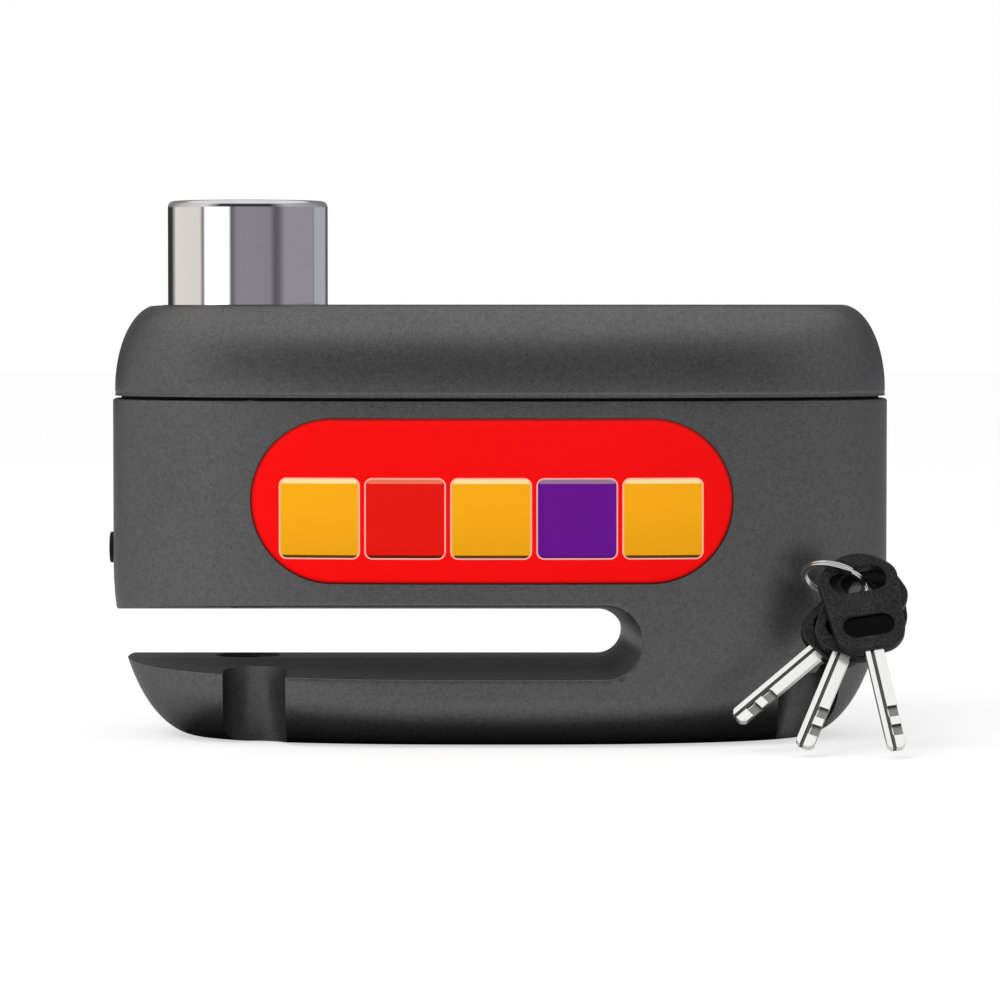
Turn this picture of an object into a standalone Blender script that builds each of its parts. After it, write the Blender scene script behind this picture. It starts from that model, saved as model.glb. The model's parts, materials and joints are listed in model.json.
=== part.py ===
"""Disc brake lock with a siren: a cast body with a disc slot, a push knob that drives a
steel pin across the slot, a key cylinder in the knob, and three keys on a split ring.

Frame: +Z up, +X along the body away from the knob, -Y is the front. The origin is the
centre of the flat base. All sizes are in metres.
"""

import math

import bmesh
import bpy
from mathutils import Matrix, Vector

# --- Clearances -------------------------------------------------------------------------
SEAT_GAP = 0.0003          # between a piece and what it rests on or slides in
GASKET_GAP = 0.00005       # between the gasket and the two faces it seals
LABEL_EDGE_GAP = 0.00015   # round the label in its recess
KEY_FIT = 0.0001           # blade in its moulded head
CUT_PAST = 0.004           # how far a cutter runs past the face it opens

# --- Facets round a turn ----------------------------------------------------------------
BORE_SIDES = 40
PIN_SIDES = 24
SCREW_SIDES = 12

# --- Cast body --------------------------------------------------------------------------
HALF_LENGTH = 0.0460
HALF_DEPTH = 0.0212
PLAN_EXPONENT = 2.5        # superellipse of the outline seen from above
PLAN_POINTS = 64
PARTING_Z = 0.0400         # top of the body
END_ROUND_X = 0.0102       # elliptical round under each end: how far it runs in
END_ROUND_Z = 0.0204       # and how high it starts
EDGE_ROUND = 0.0056        # round along the bottom front and back edges
ROUND_STEPS = 5

# --- Disc slot --------------------------------------------------------------------------
SLOT_Z = 0.0122            # middle of the slot
SLOT_HALF = 0.0029         # half the throat
SLOT_END_X = 0.0145        # round end at the throat
SLOT_LAND = 0.0042         # half the flat land across the throat
SLOT_FLARE_HALF = 0.00135  # how much the half height grows to the mouth
SLOT_FLARE_END = 0.0020    # how much the end moves out to the mouth

# --- Knob, locking pin and their bores --------------------------------------------------
KNOB_FROM_END = 0.0160
KNOB_R = 0.0095
KNOB_TOP_Z = 0.0634
KNOB_BOTTOM_Z = 0.0321
KNOB_EDGE = 0.0007
KNOB_TRAVEL = 0.0120       # the pin then stands in the jaw
BARREL_BORE_R = KNOB_R + SEAT_GAP
BARREL_FLOOR_Z = 0.0195
PIN_R = 0.0035
PIN_TIP_Z = 0.0168
PIN_POINT = 0.0006
PIN_HEAD_BELOW_DOG = 0.0015
PIN_BORE_R = PIN_R + SEAT_GAP
JAW_HOLE_FLOOR_Z = PIN_TIP_Z - KNOB_TRAVEL - 0.0008
SPRING_SEAT_BELOW_PIN = 0.0014     # metal between the cross pin and the spring's seat
SPRING_RECESS_R = 0.0074
SPRING_WIRE_R = 0.00045
SPRING_COIL_R = 0.0058
SPRING_TURNS = 6
CROSS_PIN_R = 0.0010
CROSS_PIN_BELOW_HEAD = 0.0023
CROSS_PIN_HALF = 0.0088

# --- Key cylinder -----------------------------------------------------------------------
CORE_R = 0.0059
CORE_WALL = 0.0012
CORE_FACE = 0.0017         # thickness of the face with the keyway
CORE_DEPTH_BELOW_TOP = 0.0004
CORE_EDGE = 0.0004
DISC_THICKNESS = 0.0022
KEYWAY_WIDTH = 0.0026
KEYWAY_HEIGHT = 0.0013
CAM_THICKNESS = 0.0011
CAM_PEG_R = 0.0009
DOG_BELOW_COVER = 0.0026   # the dog's guide stays under the cover's top
DOG_TRAVEL = 0.0020
DOG_HALF_WIDTH = 0.0022
DOG_HEIGHT = 0.0023
DOG_REACH = 0.0014         # how far the dog stands out of the barrel
DOG_TAIL = 0.0042          # how far it runs back past the axis
CORE_NOSE_STEP = 0.0009    # how much narrower the core is above its shoulder
CORE_NOSE_HEIGHT = 0.0014
SNAP_RING_HEIGHT = 0.0006
SNAP_RING_BITE = 0.0006    # how far the snap ring stands in the barrel's wall
SNAP_RING_MOUTH = 0.0030   # width of the gap in the snap ring

# --- Ramp rib and switch ----------------------------------------------------------------
RIB_HALF_WIDTH = 0.0024
RIB_BELOW_DOG = 0.0007
RIB_REACH = 0.0010         # rib height above the barrel at its foot
RAMP_RISE = 0.05           # rise of the rib for each metre along it
SWITCH_Z = 0.0328
SWITCH_LENGTH = 0.0043
SWITCH_HALF_WIDTH = 0.0026
SWITCH_HEIGHT = 0.0066
BUTTON_R = 0.0006
BUTTON_LENGTH = 0.0037
BUTTON_POCKET = 0.0028     # depth of the button's pocket in the switch

# --- Cover and gasket -------------------------------------------------------------------
GASKET_THICKNESS = 0.0004
GASKET_INSET = 0.0006
COVER_Z = PARTING_Z + GASKET_THICKNESS + 2 * GASKET_GAP
COVER_TOP_Z = 0.0511
COVER_LIP_INSET = 0.00035  # small undercut along the parting line
COVER_LIP_HEIGHT = 0.0006
COVER_SIDE_HEIGHT = 0.0011
COVER_ROUND_IN = 0.0052    # elliptical shoulder: how far it runs in
COVER_ROUND_STEPS = 6
COVER_POCKET_Z = 0.0475
SEAL_WIDTH = 0.0014
SEAL_HEIGHT = 0.0012

# --- Electronics cavity -----------------------------------------------------------------
SWITCH_SPACE = 0.0057      # from the guide groove to the cavity
CAVITY_END_X = 0.0290
CAVITY_HALF_Y = 0.0141
CAVITY_FLOOR_Z = 0.0195
CAVITY_CORNER = 0.0030

# --- Cover screws and their channels ----------------------------------------------------
SCREW_R = 0.0015
SCREW_HEAD_R = 0.0027
SCREW_HEAD_HEIGHT = 0.0020
SCREW_TIP_Z = 0.0465
SCREW_HEX_R = 0.0012
SCREW_HEX_DEPTH = 0.0011
CHANNEL_R = 0.0037
LEFT_SCREW_PAST_KNOB = 0.0015
LEFT_SCREW_EDGE = 0.0067   # in from the front or back face
LEFT_SEAT_Z = 0.0195
RIGHT_SCREW_FROM_END = 0.0100
RIGHT_SCREW_EDGE = 0.0100
RIGHT_CHANNEL_TOP_Z = 0.0083
RIGHT_SEAT_Z = 0.0125      # head recess runs on above the channel
HEAD_RECESS_R = SCREW_HEAD_R + SEAT_GAP
SHANK_HOLE_R = SCREW_R + SEAT_GAP

# --- Label and side plug ----------------------------------------------------------------
LABEL_X = (-0.0288, 0.0269)
LABEL_Z = (0.0190, 0.0380)
LABEL_THICKNESS = 0.0005
LABEL_PROUD = 0.0001
PLUG_Z = 0.0222
PLUG_R = 0.00185
PLUG_PROUD = 0.0005
PLUG_LENGTH = 0.0034

# --- Batteries --------------------------------------------------------------------------
CELL_R = 0.0058
CELL_HEIGHT = 0.0054
CELL_EDGE = 0.0004
CELLS_IN_STACK = 3
CELL_STEP = CELL_HEIGHT + 0.00015
STACK_Y = 0.0067
CELL_POCKET_R = CELL_R + SEAT_GAP
TRAY_WALL = 0.0008
TRAY_FLOOR = 0.0017
TRAY_TOP_Z = 0.0419
LID_THICKNESS = 0.0012
BRIDGE_THICKNESS = 0.0004
BRIDGE_HALF = (0.0022, 0.0077)
CONTACT_COIL_R = 0.0030
CONTACT_WIRE_R = 0.0003
CONTACT_TURNS = 3

# --- Siren and circuit board ------------------------------------------------------------
SIREN_X = 0.0168
SIREN_Z = 0.0298
SIREN_R = 0.0096
SIREN_LENGTH = 0.0110
SIREN_WALL = 0.0010
SIREN_PORT_R = 0.0030
PIEZO_THICKNESS = 0.0005
PIEZO_DEPTH = 0.0050       # behind the siren's front wall
SOUND_SLITS = 5
SLIT_PITCH = 0.0028
SLIT_WIDTH = 0.0012
SLIT_HEIGHT = 0.0090
BOARD_PAST_TRAY = 0.0022
BOARD_END_GAP = 0.0010
BOARD_Y = 0.0
BOARD_THICKNESS = 0.0016
BOARD_HEIGHT = 0.0196
CHIP_SIZE = (0.0062, 0.0012, 0.0062)
CHIP_FROM_END = 0.0064
SENSOR_R = 0.0022
SENSOR_HEIGHT = 0.0080
SENSOR_FROM_END = 0.0055

# --- Keys -------------------------------------------------------------------------------
RACK_AROUND = math.radians(41.5)   # place on the body's outline that the keys lean on
RACK_PAST_X = 0.0055       # from there to where the ring passes through the key heads
RACK_PAST_Y = 0.0045
RACK_Z = 0.0184
RACK_LEAN = math.radians(33.0)
HEAD_THICKNESS = 0.0015
KEY_STEP = HEAD_THICKNESS + SEAT_GAP
HEAD_TOP_HALF = 0.0047
HEAD_FOOT_HALF = 0.0040
HEAD_TOP = 0.0035          # top edge above the ring's hole
HEAD_FOOT = 0.0093         # foot edge below it
HEAD_CORNER = 0.0032
HEAD_FOOT_CORNER = 0.0018
HEAD_EDGE = 0.0002
EYE_HALF_LENGTH = 0.0033
EYE_HALF_HEIGHT = 0.0016
THUMB_HALF_LENGTH = 0.0030
THUMB_HALF_HEIGHT = 0.0014
THUMB_Y = -0.0061
THUMB_DEPTH = 0.0003
BLADE_WIDTH = 0.00215
BLADE_THICKNESS = 0.0009
BLADE_TIP = 0.0220         # from the ring's hole to the tip
BLADE_TANG = 0.0028        # length held in the head
BLADE_GROOVE_WIDTH = 0.00035
BLADE_GROOVE_DEPTH = 0.0002
BLADE_GROOVE_X = -0.0003
BIT_WIDTH = 0.0013
BIT_HEIGHT = 0.0014
BIT_PLACES = (0.0016, 0.0040)     # above the tip
BLADE_POINT = 0.0005
RING_R = 0.0036
RING_WIRE_R = 0.00035
RING_TILT = math.radians(16.5)
# name, layer towards the front, turn of the key, where the ring passes along the eye
KEYS = (
    ("right", 1, math.radians(9.5), 0.0009),
    ("middle", 0, math.radians(-21.8), -0.0005),
    ("left", -1, math.radians(-47.0), -0.0015),
)

# --- Worked out from the above ----------------------------------------------------------
KNOB_X = KNOB_FROM_END - HALF_LENGTH
LEFT_SCREW = (KNOB_X + LEFT_SCREW_PAST_KNOB, HALF_DEPTH - LEFT_SCREW_EDGE)
RIGHT_SCREW = (HALF_LENGTH - RIGHT_SCREW_FROM_END, HALF_DEPTH - RIGHT_SCREW_EDGE)
CORE_TOP_Z = KNOB_TOP_Z - CORE_DEPTH_BELOW_TOP
DOG_TOP_Z = COVER_TOP_Z - DOG_BELOW_COVER
CORE_FLOOR_Z = DOG_TOP_Z + SEAT_GAP
CAM_TOP_Z = CORE_FLOOR_Z + SEAT_GAP + CAM_THICKNESS
CORE_BOTTOM_Z = CAM_TOP_Z + SEAT_GAP
DISC_COUNT = int((CORE_TOP_Z - CORE_FACE - CORE_BOTTOM_Z) / (DISC_THICKNESS + SEAT_GAP))
CORE_BORE_R = CORE_R + SEAT_GAP
CORE_SHOULDER_Z = CORE_TOP_Z - CORE_NOSE_HEIGHT
CORE_NOSE_R = CORE_R - CORE_NOSE_STEP
SNAP_GROOVE_R = CORE_BORE_R + SNAP_RING_BITE + SEAT_GAP
SNAP_GROOVE_TOP_Z = CORE_SHOULDER_Z + SNAP_RING_HEIGHT + SEAT_GAP
DOG_BOTTOM_Z = DOG_TOP_Z - DOG_HEIGHT
CAM_PEG_ORBIT = DOG_TRAVEL / math.sqrt(2.0)
RIB_TOP_Z = DOG_BOTTOM_Z - RIB_BELOW_DOG
PIN_HEAD_Z = DOG_BOTTOM_Z - PIN_HEAD_BELOW_DOG
CROSS_PIN_Z = PIN_HEAD_Z - CROSS_PIN_BELOW_HEAD
SPRING_SEAT_Z = CROSS_PIN_Z - CROSS_PIN_R - SPRING_SEAT_BELOW_PIN    # the return spring bears here
GROOVE_REACH = KNOB_R + max(RIB_REACH + RAMP_RISE * (RIB_TOP_Z - KNOB_BOTTOM_Z), DOG_REACH)
GROOVE_X = KNOB_X + GROOVE_REACH + SEAT_GAP
GROOVE_HALF = max(RIB_HALF_WIDTH, DOG_HALF_WIDTH) + SEAT_GAP
GROOVE_TOP_Z = DOG_TOP_Z + SEAT_GAP
CAVITY_X = (GROOVE_X + SWITCH_SPACE, CAVITY_END_X)
STACK_X = CAVITY_X[0] + SEAT_GAP + TRAY_WALL + CELL_POCKET_R
TRAY_END_X = STACK_X + CELL_POCKET_R + TRAY_WALL
BOARD_X = (TRAY_END_X + BOARD_PAST_TRAY, CAVITY_END_X - BOARD_END_GAP)
CHIP_X = BOARD_X[0] + CHIP_FROM_END
SENSOR_X = BOARD_X[1] - SENSOR_FROM_END
RACK_X = HALF_LENGTH * math.cos(RACK_AROUND) ** (2.0 / PLAN_EXPONENT) + RACK_PAST_X
RACK_Y = -HALF_DEPTH * math.sin(RACK_AROUND) ** (2.0 / PLAN_EXPONENT) - RACK_PAST_Y
SEAL_SEAT_Z = COVER_TOP_Z - SEAL_HEIGHT - SEAT_GAP

MAIN = "disc_brake_lock"
TOOLS = "cutters"


# ========================================================================================
# Scene, collections and materials
# ========================================================================================
def clear_scene():
    """Remove what a new file holds, such as its cube, lamp and camera."""
    for item in list(bpy.data.objects):
        bpy.data.objects.remove(item, do_unlink=True)


def collection(name):
    """The collection of that name, made on first use."""
    found = bpy.data.collections.get(name)
    if found is None:
        found = bpy.data.collections.new(name)
        bpy.context.scene.collection.children.link(found)
    return found


def material(name, colour, roughness, metallic=0.0):
    """A Principled material, made on first use."""
    found = bpy.data.materials.get(name)
    if found is None:
        found = bpy.data.materials.new(name)
        found.use_nodes = True
        shader = found.node_tree.nodes["Principled BSDF"]
        shader.inputs["Base Color"].default_value = (*colour, 1.0)
        shader.inputs["Roughness"].default_value = roughness
        shader.inputs["Metallic"].default_value = metallic
        found.diffuse_color = (*colour, 1.0)
    return found


def cast_paint():
    return material("cast_paint", (0.085, 0.085, 0.088), 0.55, 0.3)


def black_rubber():
    return material("black_rubber", (0.012, 0.012, 0.012), 0.75)


def black_plastic():
    return material("black_plastic", (0.018, 0.018, 0.019), 0.5)


def chrome():
    return material("chrome", (0.78, 0.78, 0.80), 0.08, 1.0)


def steel():
    return material("steel", (0.55, 0.55, 0.56), 0.25, 1.0)


def brass():
    return material("brass", (0.62, 0.45, 0.18), 0.3, 1.0)


def red_label():
    return material("red_label", (0.90, 0.01, 0.01), 0.4)


def board_green():
    return material("board_green", (0.03, 0.16, 0.07), 0.5)


# ========================================================================================
# Building blocks
# ========================================================================================
def add_object(name, mesh, finish, smooth=True):
    """Link a mesh as a named piece with its own material."""
    item = bpy.data.objects.new(name, mesh)
    collection(MAIN).objects.link(item)
    if finish is not None:
        mesh.materials.append(finish)
    if smooth:
        mesh.shade_smooth()
        mesh.set_sharp_from_angle(angle=math.radians(35.0))
    return item


def as_cutter(item):
    """Turn a piece into a cutter: wire only, hidden from renders, in its own collection."""
    collection(MAIN).objects.unlink(item)
    collection(TOOLS).objects.link(item)
    item.display_type = "WIRE"
    item.hide_render = True
    return item


def combine(target, other, operation):
    """Add an exact Boolean of another object to a piece."""
    step = target.modifiers.new(operation.lower(), "BOOLEAN")
    step.operation = operation
    step.solver = "EXACT"
    step.object = other
    return step


def cut(target, *tools):
    """Cut each tool out of the target."""
    for tool in tools:
        combine(target, as_cutter(tool), "DIFFERENCE")


def join(target, other):
    """Unite another solid with the target."""
    combine(target, as_cutter(other), "UNION")


def bounds_box(name, low, high, finish=None):
    """A box between two corners."""
    shape = bmesh.new()
    bmesh.ops.create_cube(shape, size=1.0)
    low, high = Vector(low), Vector(high)
    for vertex in shape.verts:
        for axis in range(3):
            vertex.co[axis] = low[axis] + (vertex.co[axis] + 0.5) * (high[axis] - low[axis])
    return finish_bmesh(name, shape, finish)


def finish_bmesh(name, shape, finish):
    """Write a bmesh to a new named piece."""
    mesh = bpy.data.meshes.new(name)
    shape.to_mesh(mesh)
    shape.free()
    return add_object(name, mesh, finish)


def rod(name, start, end, radius, finish=None, sides=32):
    """A plain cylinder from one point to another."""
    start, end = Vector(start), Vector(end)
    along = end - start
    shape = bmesh.new()
    bmesh.ops.create_cone(shape, cap_ends=True, segments=sides, radius1=radius, radius2=radius,
                          depth=along.length)
    turn = along.to_track_quat("Z", "Y").to_matrix().to_4x4()
    bmesh.ops.transform(shape, matrix=Matrix.Translation((start + end) / 2) @ turn, verts=shape.verts)
    return finish_bmesh(name, shape, finish)


def turned(name, profile, finish=None, steps=48):
    """A solid of revolution about Z. The profile is (radius, height), down its outer side.
    It starts and ends on the axis, or on the same point for a ring."""
    mesh = bpy.data.meshes.new(name)
    points = [(radius, 0.0, height) for radius, height in profile]
    edges = [(i, i + 1) for i in range(len(points) - 1)]
    if points[0] == points[-1]:
        points.pop()
        edges[-1] = (len(points) - 1, 0)
    mesh.from_pydata(points, edges, [])
    item = add_object(name, mesh, finish, smooth=False)
    spin = item.modifiers.new("turn", "SCREW")
    spin.axis = "Z"
    spin.angle = math.tau
    spin.steps = steps
    spin.render_steps = steps
    spin.use_merge_vertices = True
    spin.merge_threshold = 0.000001
    spin.use_smooth_shade = False
    return item


def place(item, where, turn=(0.0, 0.0, 0.0)):
    """Set a piece's location and rotation."""
    item.location = where
    item.rotation_euler = turn
    return item


def spline(curve, points):
    """Add a closed flat outline to a curve."""
    line = curve.splines.new("POLY")
    line.points.add(len(points) - 1)
    for point, (x, y) in zip(line.points, points):
        point.co = (x, y, 0.0, 1.0)
    line.use_cyclic_u = True


def plate(name, outlines, thickness, finish=None):
    """A flat sheet in XY from closed outlines, later ones being holes, centred on Z = 0."""
    curve = bpy.data.curves.new(name, "CURVE")
    curve.dimensions = "2D"
    curve.fill_mode = "BOTH"
    curve.extrude = thickness / 2
    for outline in outlines:
        spline(curve, outline)
    guide = bpy.data.objects.new(name + "_outline", curve)
    collection(TOOLS).objects.link(guide)
    return solid_from_curve(name, guide, finish)


def solid_from_curve(name, guide, finish):
    """Turn a curve object into a welded mesh piece, and remove the curve."""
    bpy.context.view_layer.update()
    drawn = guide.evaluated_get(bpy.context.evaluated_depsgraph_get())
    mesh = bpy.data.meshes.new_from_object(drawn)
    shape = bmesh.new()
    shape.from_mesh(mesh)
    bmesh.ops.remove_doubles(shape, verts=shape.verts, dist=0.000001)
    bmesh.ops.recalc_face_normals(shape, faces=shape.faces)
    shape.to_mesh(mesh)
    shape.free()
    mesh.name = name
    mesh.materials.clear()
    item = add_object(name, mesh, finish)
    item.matrix_world = guide.matrix_world.copy()
    bpy.data.objects.remove(guide, do_unlink=True)
    return item


def coil(name, radii, wire, bottom, height, turns, finish):
    """A helical wire about Z whose radius runs from the first of radii to the last."""
    points_per_turn = 12
    count = int(turns * points_per_turn) + 1
    curve = bpy.data.curves.new(name, "CURVE")
    curve.dimensions = "3D"
    curve.bevel_depth = wire
    curve.bevel_resolution = 2
    curve.use_fill_caps = True
    line = curve.splines.new("POLY")
    line.points.add(count - 1)
    for i, point in enumerate(line.points):
        share = i / (count - 1)
        angle = math.tau * turns * share
        radius = radii[0] + (radii[1] - radii[0]) * share
        rise = bottom + wire + (height - 2 * wire) * share
        point.co = (radius * math.cos(angle), radius * math.sin(angle), rise, 1.0)
    guide = bpy.data.objects.new(name + "_path", curve)
    collection(TOOLS).objects.link(guide)
    return solid_from_curve(name, guide, finish)


def loft(name, sections, finish=None):
    """A closed solid through rings of points that all run the same way round, going up."""
    shape = bmesh.new()
    rings = [[shape.verts.new(point) for point in section] for section in sections]
    count = len(rings[0])
    for lower, upper in zip(rings, rings[1:]):
        for i in range(count):
            nxt = (i + 1) % count
            shape.faces.new((lower[i], lower[nxt], upper[nxt], upper[i]))
    shape.faces.new(list(reversed(rings[0])))
    shape.faces.new(rings[-1])
    bmesh.ops.recalc_face_normals(shape, faces=shape.faces)
    return finish_bmesh(name, shape, finish)


# ========================================================================================
# Outlines
# ========================================================================================
def superellipse(half_x, half_y, exponent, count):
    """Points of |x/a|^n + |y/b|^n = 1, anticlockwise from +X."""
    points = []
    for i in range(count):
        angle = math.tau * i / count
        c, s = math.cos(angle), math.sin(angle)
        x = half_x * math.copysign(abs(c) ** (2.0 / exponent), c)
        y = half_y * math.copysign(abs(s) ** (2.0 / exponent), s)
        points.append((x, y))
    return points


def arc(centre, radius, start, end, steps):
    """Points along an arc between two angles in degrees, both ends included."""
    points = []
    for i in range(steps + 1):
        angle = math.radians(start + (end - start) * i / steps)
        points.append((centre[0] + radius * math.cos(angle), centre[1] + radius * math.sin(angle)))
    return points


def round_rect(low, high, corner, steps=5):
    """A rectangle with round corners, anticlockwise."""
    (x0, y0), (x1, y1) = low, high
    outline = arc((x1 - corner, y1 - corner), corner, 0, 90, steps)
    outline += arc((x0 + corner, y1 - corner), corner, 90, 180, steps)
    outline += arc((x0 + corner, y0 + corner), corner, 180, 270, steps)
    outline += arc((x1 - corner, y0 + corner), corner, 270, 360, steps)
    return outline


def stadium(half_length, half_height, centre=(0.0, 0.0), steps=12):
    """A flat bar with two half-round ends, anticlockwise."""
    reach = half_length - half_height
    outline = arc((centre[0] + reach, centre[1]), half_height, -90, 90, steps)
    outline += arc((centre[0] - reach, centre[1]), half_height, 90, 270, steps)
    return outline


def shrink(run, height, size):
    """How far an elliptical round of that height and size has come in at a height above its foot."""
    if height >= size:
        return 0.0
    share = (size - height) / size
    return run * (1.0 - math.sqrt(1.0 - share * share))


def body_ring(height, inset=0.0):
    """One level of the body's outside, or of that outside moved in by inset."""
    half_x = HALF_LENGTH - shrink(END_ROUND_X, height, END_ROUND_Z) - inset
    half_y = HALF_DEPTH - shrink(EDGE_ROUND, height, EDGE_ROUND) - inset
    return [(x, y, height) for x, y in superellipse(half_x, half_y, PLAN_EXPONENT, PLAN_POINTS)]


def body_levels():
    """Heights of the body's levels: close together where the edges round, then up the ends."""
    quarter = math.pi / 2
    edge = [EDGE_ROUND * (1 - math.cos(quarter * i / ROUND_STEPS)) for i in range(ROUND_STEPS)]
    ends = [END_ROUND_Z * (1 - math.cos(quarter * i / ROUND_STEPS)) for i in range(ROUND_STEPS)]
    ends = [level for level in ends if level > EDGE_ROUND * 1.05]
    return edge + [EDGE_ROUND] + ends + [END_ROUND_Z, PARTING_Z]


def cover_ring(height, inset):
    """One level of the cover, drawn in from the body's outline by inset."""
    outline = superellipse(HALF_LENGTH - inset, HALF_DEPTH - inset, PLAN_EXPONENT, PLAN_POINTS)
    return [(x, y, height) for x, y in outline]


# ========================================================================================
# Cutters of the body and the cover
# ========================================================================================
def slot_section(across):
    """The slot's outline in XZ at a distance across the body: open left, round right end."""
    beyond = max(0.0, abs(across) - SLOT_LAND) / (HALF_DEPTH - SLOT_LAND)
    half = SLOT_HALF + SLOT_FLARE_HALF * beyond
    end = SLOT_END_X + SLOT_FLARE_END * beyond
    far = -HALF_LENGTH - CUT_PAST
    outline = [(far, SLOT_Z - half)] + arc((end - half, SLOT_Z), half, -90, 90, 12)
    outline.append((far, SLOT_Z + half))
    return [(x, across, z) for x, z in outline]


def slot_cutter():
    """The disc slot: a flat throat that flares to both faces."""
    beyond = HALF_DEPTH + CUT_PAST
    return loft("slot", [slot_section(y) for y in (beyond, SLOT_LAND, -SLOT_LAND, -beyond)])


def guide_groove(name, bottom, top):
    """The lengthwise groove that the barrel's rib and the latch dog run in."""
    return bounds_box(name, (KNOB_X, -GROOVE_HALF, bottom), (GROOVE_X, GROOVE_HALF, top))


def channel(name, spot, side, bottom, top):
    """A round-backed screwdriver channel that opens through the front or back face."""
    x, across = spot
    outward = HALF_DEPTH + CUT_PAST
    outline = arc((0.0, 0.0), CHANNEL_R, 180, 0, 10)
    outline += [(CHANNEL_R, across - outward), (-CHANNEL_R, across - outward)]
    item = plate(name, [outline], top - bottom)
    turn = 0.0 if side < 0 else math.pi
    return place(item, (x, side * across, (bottom + top) / 2), (0.0, 0.0, turn))


def screw_spots():
    """Name, spot, side, head seat and channel top of each cover screw."""
    ends = (("left", LEFT_SCREW, LEFT_SEAT_Z, SLOT_Z), ("right", RIGHT_SCREW, RIGHT_SEAT_Z, RIGHT_CHANNEL_TOP_Z))
    for end, spot, seat, channel_top in ends:
        for face, side in (("front", -1), ("back", 1)):
            yield face + "_" + end, spot, side, seat, channel_top


def body_cutters():
    """Everything that is cut out of the cast body."""
    above = PARTING_Z + CUT_PAST
    axis = (KNOB_X, 0.0)
    tools = [slot_cutter()]
    tools.append(rod("jaw_hole", (*axis, JAW_HOLE_FLOOR_Z), (*axis, SLOT_Z), PIN_BORE_R, sides=PIN_SIDES))
    tools.append(rod("pin_bore", (*axis, SLOT_Z), (*axis, BARREL_FLOOR_Z + CUT_PAST), PIN_BORE_R, sides=PIN_SIDES))
    tools.append(rod("barrel_bore", (*axis, BARREL_FLOOR_Z), (*axis, above), BARREL_BORE_R, sides=BORE_SIDES))
    tools.append(guide_groove("body_groove", BARREL_FLOOR_Z + SEAT_GAP, above))
    tools.append(cavity_cutter("body_cavity", CAVITY_FLOOR_Z, above))
    tools.append(bounds_box("switch_window", (GROOVE_X - CUT_PAST / 2, -SWITCH_HALF_WIDTH - SEAT_GAP, switch_floor()),
                            (CAVITY_X[0] + CUT_PAST / 2, SWITCH_HALF_WIDTH + SEAT_GAP, above)))
    for name, spot, side, seat, channel_top in screw_spots():
        x, y = spot[0], side * spot[1]
        tools.append(channel("channel_" + name, spot, side, -CUT_PAST, channel_top))
        tools.append(rod("head_" + name, (x, y, channel_top - CUT_PAST), (x, y, seat), HEAD_RECESS_R, sides=24))
        tools.append(rod("shank_" + name, (x, y, seat - CUT_PAST), (x, y, above), SHANK_HOLE_R, sides=SCREW_SIDES))
    tools += sound_slits()
    hole = rod("plug_hole", (-HALF_LENGTH - CUT_PAST, 0.0, PLUG_Z),
               (plug_inner_x() + SEAT_GAP, 0.0, PLUG_Z), PLUG_R + SEAT_GAP, sides=32)
    tools.append(hole)
    tools.append(label_shell("label_recess", LABEL_EDGE_GAP, LABEL_THICKNESS + SEAT_GAP - LABEL_PROUD, None))
    return tools


def switch_floor():
    """Floor of the window that the switch stands in."""
    return SWITCH_Z - SWITCH_HEIGHT / 2 - SEAT_GAP


def plug_inner_x():
    """Inner end of the side plug."""
    return -HALF_LENGTH + PLUG_LENGTH


def cavity_cutter(name, bottom, top):
    """The pocket for the battery, board and siren, round-cornered seen from above."""
    outline = round_rect((CAVITY_X[0], -CAVITY_HALF_Y), (CAVITY_X[1], CAVITY_HALF_Y), CAVITY_CORNER)
    return place(plate(name, [outline], top - bottom), (0.0, 0.0, (bottom + top) / 2))


def sound_slits():
    """Upright slits through the back wall, behind the siren."""
    tools = []
    for i in range(SOUND_SLITS):
        x = SIREN_X + (i - (SOUND_SLITS - 1) / 2) * SLIT_PITCH
        item = plate("slit_%d" % (i + 1), [stadium(SLIT_HEIGHT / 2, SLIT_WIDTH / 2, steps=6)], HALF_DEPTH)
        middle = CAVITY_HALF_Y - CUT_PAST / 2 + HALF_DEPTH / 2
        tools.append(place(item, (x, middle, SIREN_Z), (math.pi / 2, math.pi / 2, 0.0)))
    return tools


def label_shell(name, grow, depth, finish):
    """The front skin of the body inside the label's outline, from outside down to depth."""
    half_x = (LABEL_X[1] - LABEL_X[0]) / 2 + grow
    half_z = (LABEL_Z[1] - LABEL_Z[0]) / 2 + grow
    outline = stadium(half_x, half_z, steps=14)
    item = plate(name, [outline], HALF_DEPTH)
    item.data.materials.clear()
    if finish is not None:
        item.data.materials.append(finish)
    centre = ((LABEL_X[0] + LABEL_X[1]) / 2, -HALF_DEPTH, (LABEL_Z[0] + LABEL_Z[1]) / 2)
    place(item, centre, (math.pi / 2, 0.0, 0.0))
    levels = [LABEL_Z[0] - CUT_PAST, LABEL_Z[0], END_ROUND_Z, LABEL_Z[1] + CUT_PAST]
    cut(item, loft(name + "_floor", [body_ring(level, depth) for level in levels]))
    return item


# ========================================================================================
# Pieces of the body
# ========================================================================================
def make_body():
    body = loft("main_body", [body_ring(level) for level in body_levels()], cast_paint())
    cut(body, *body_cutters())


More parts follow.
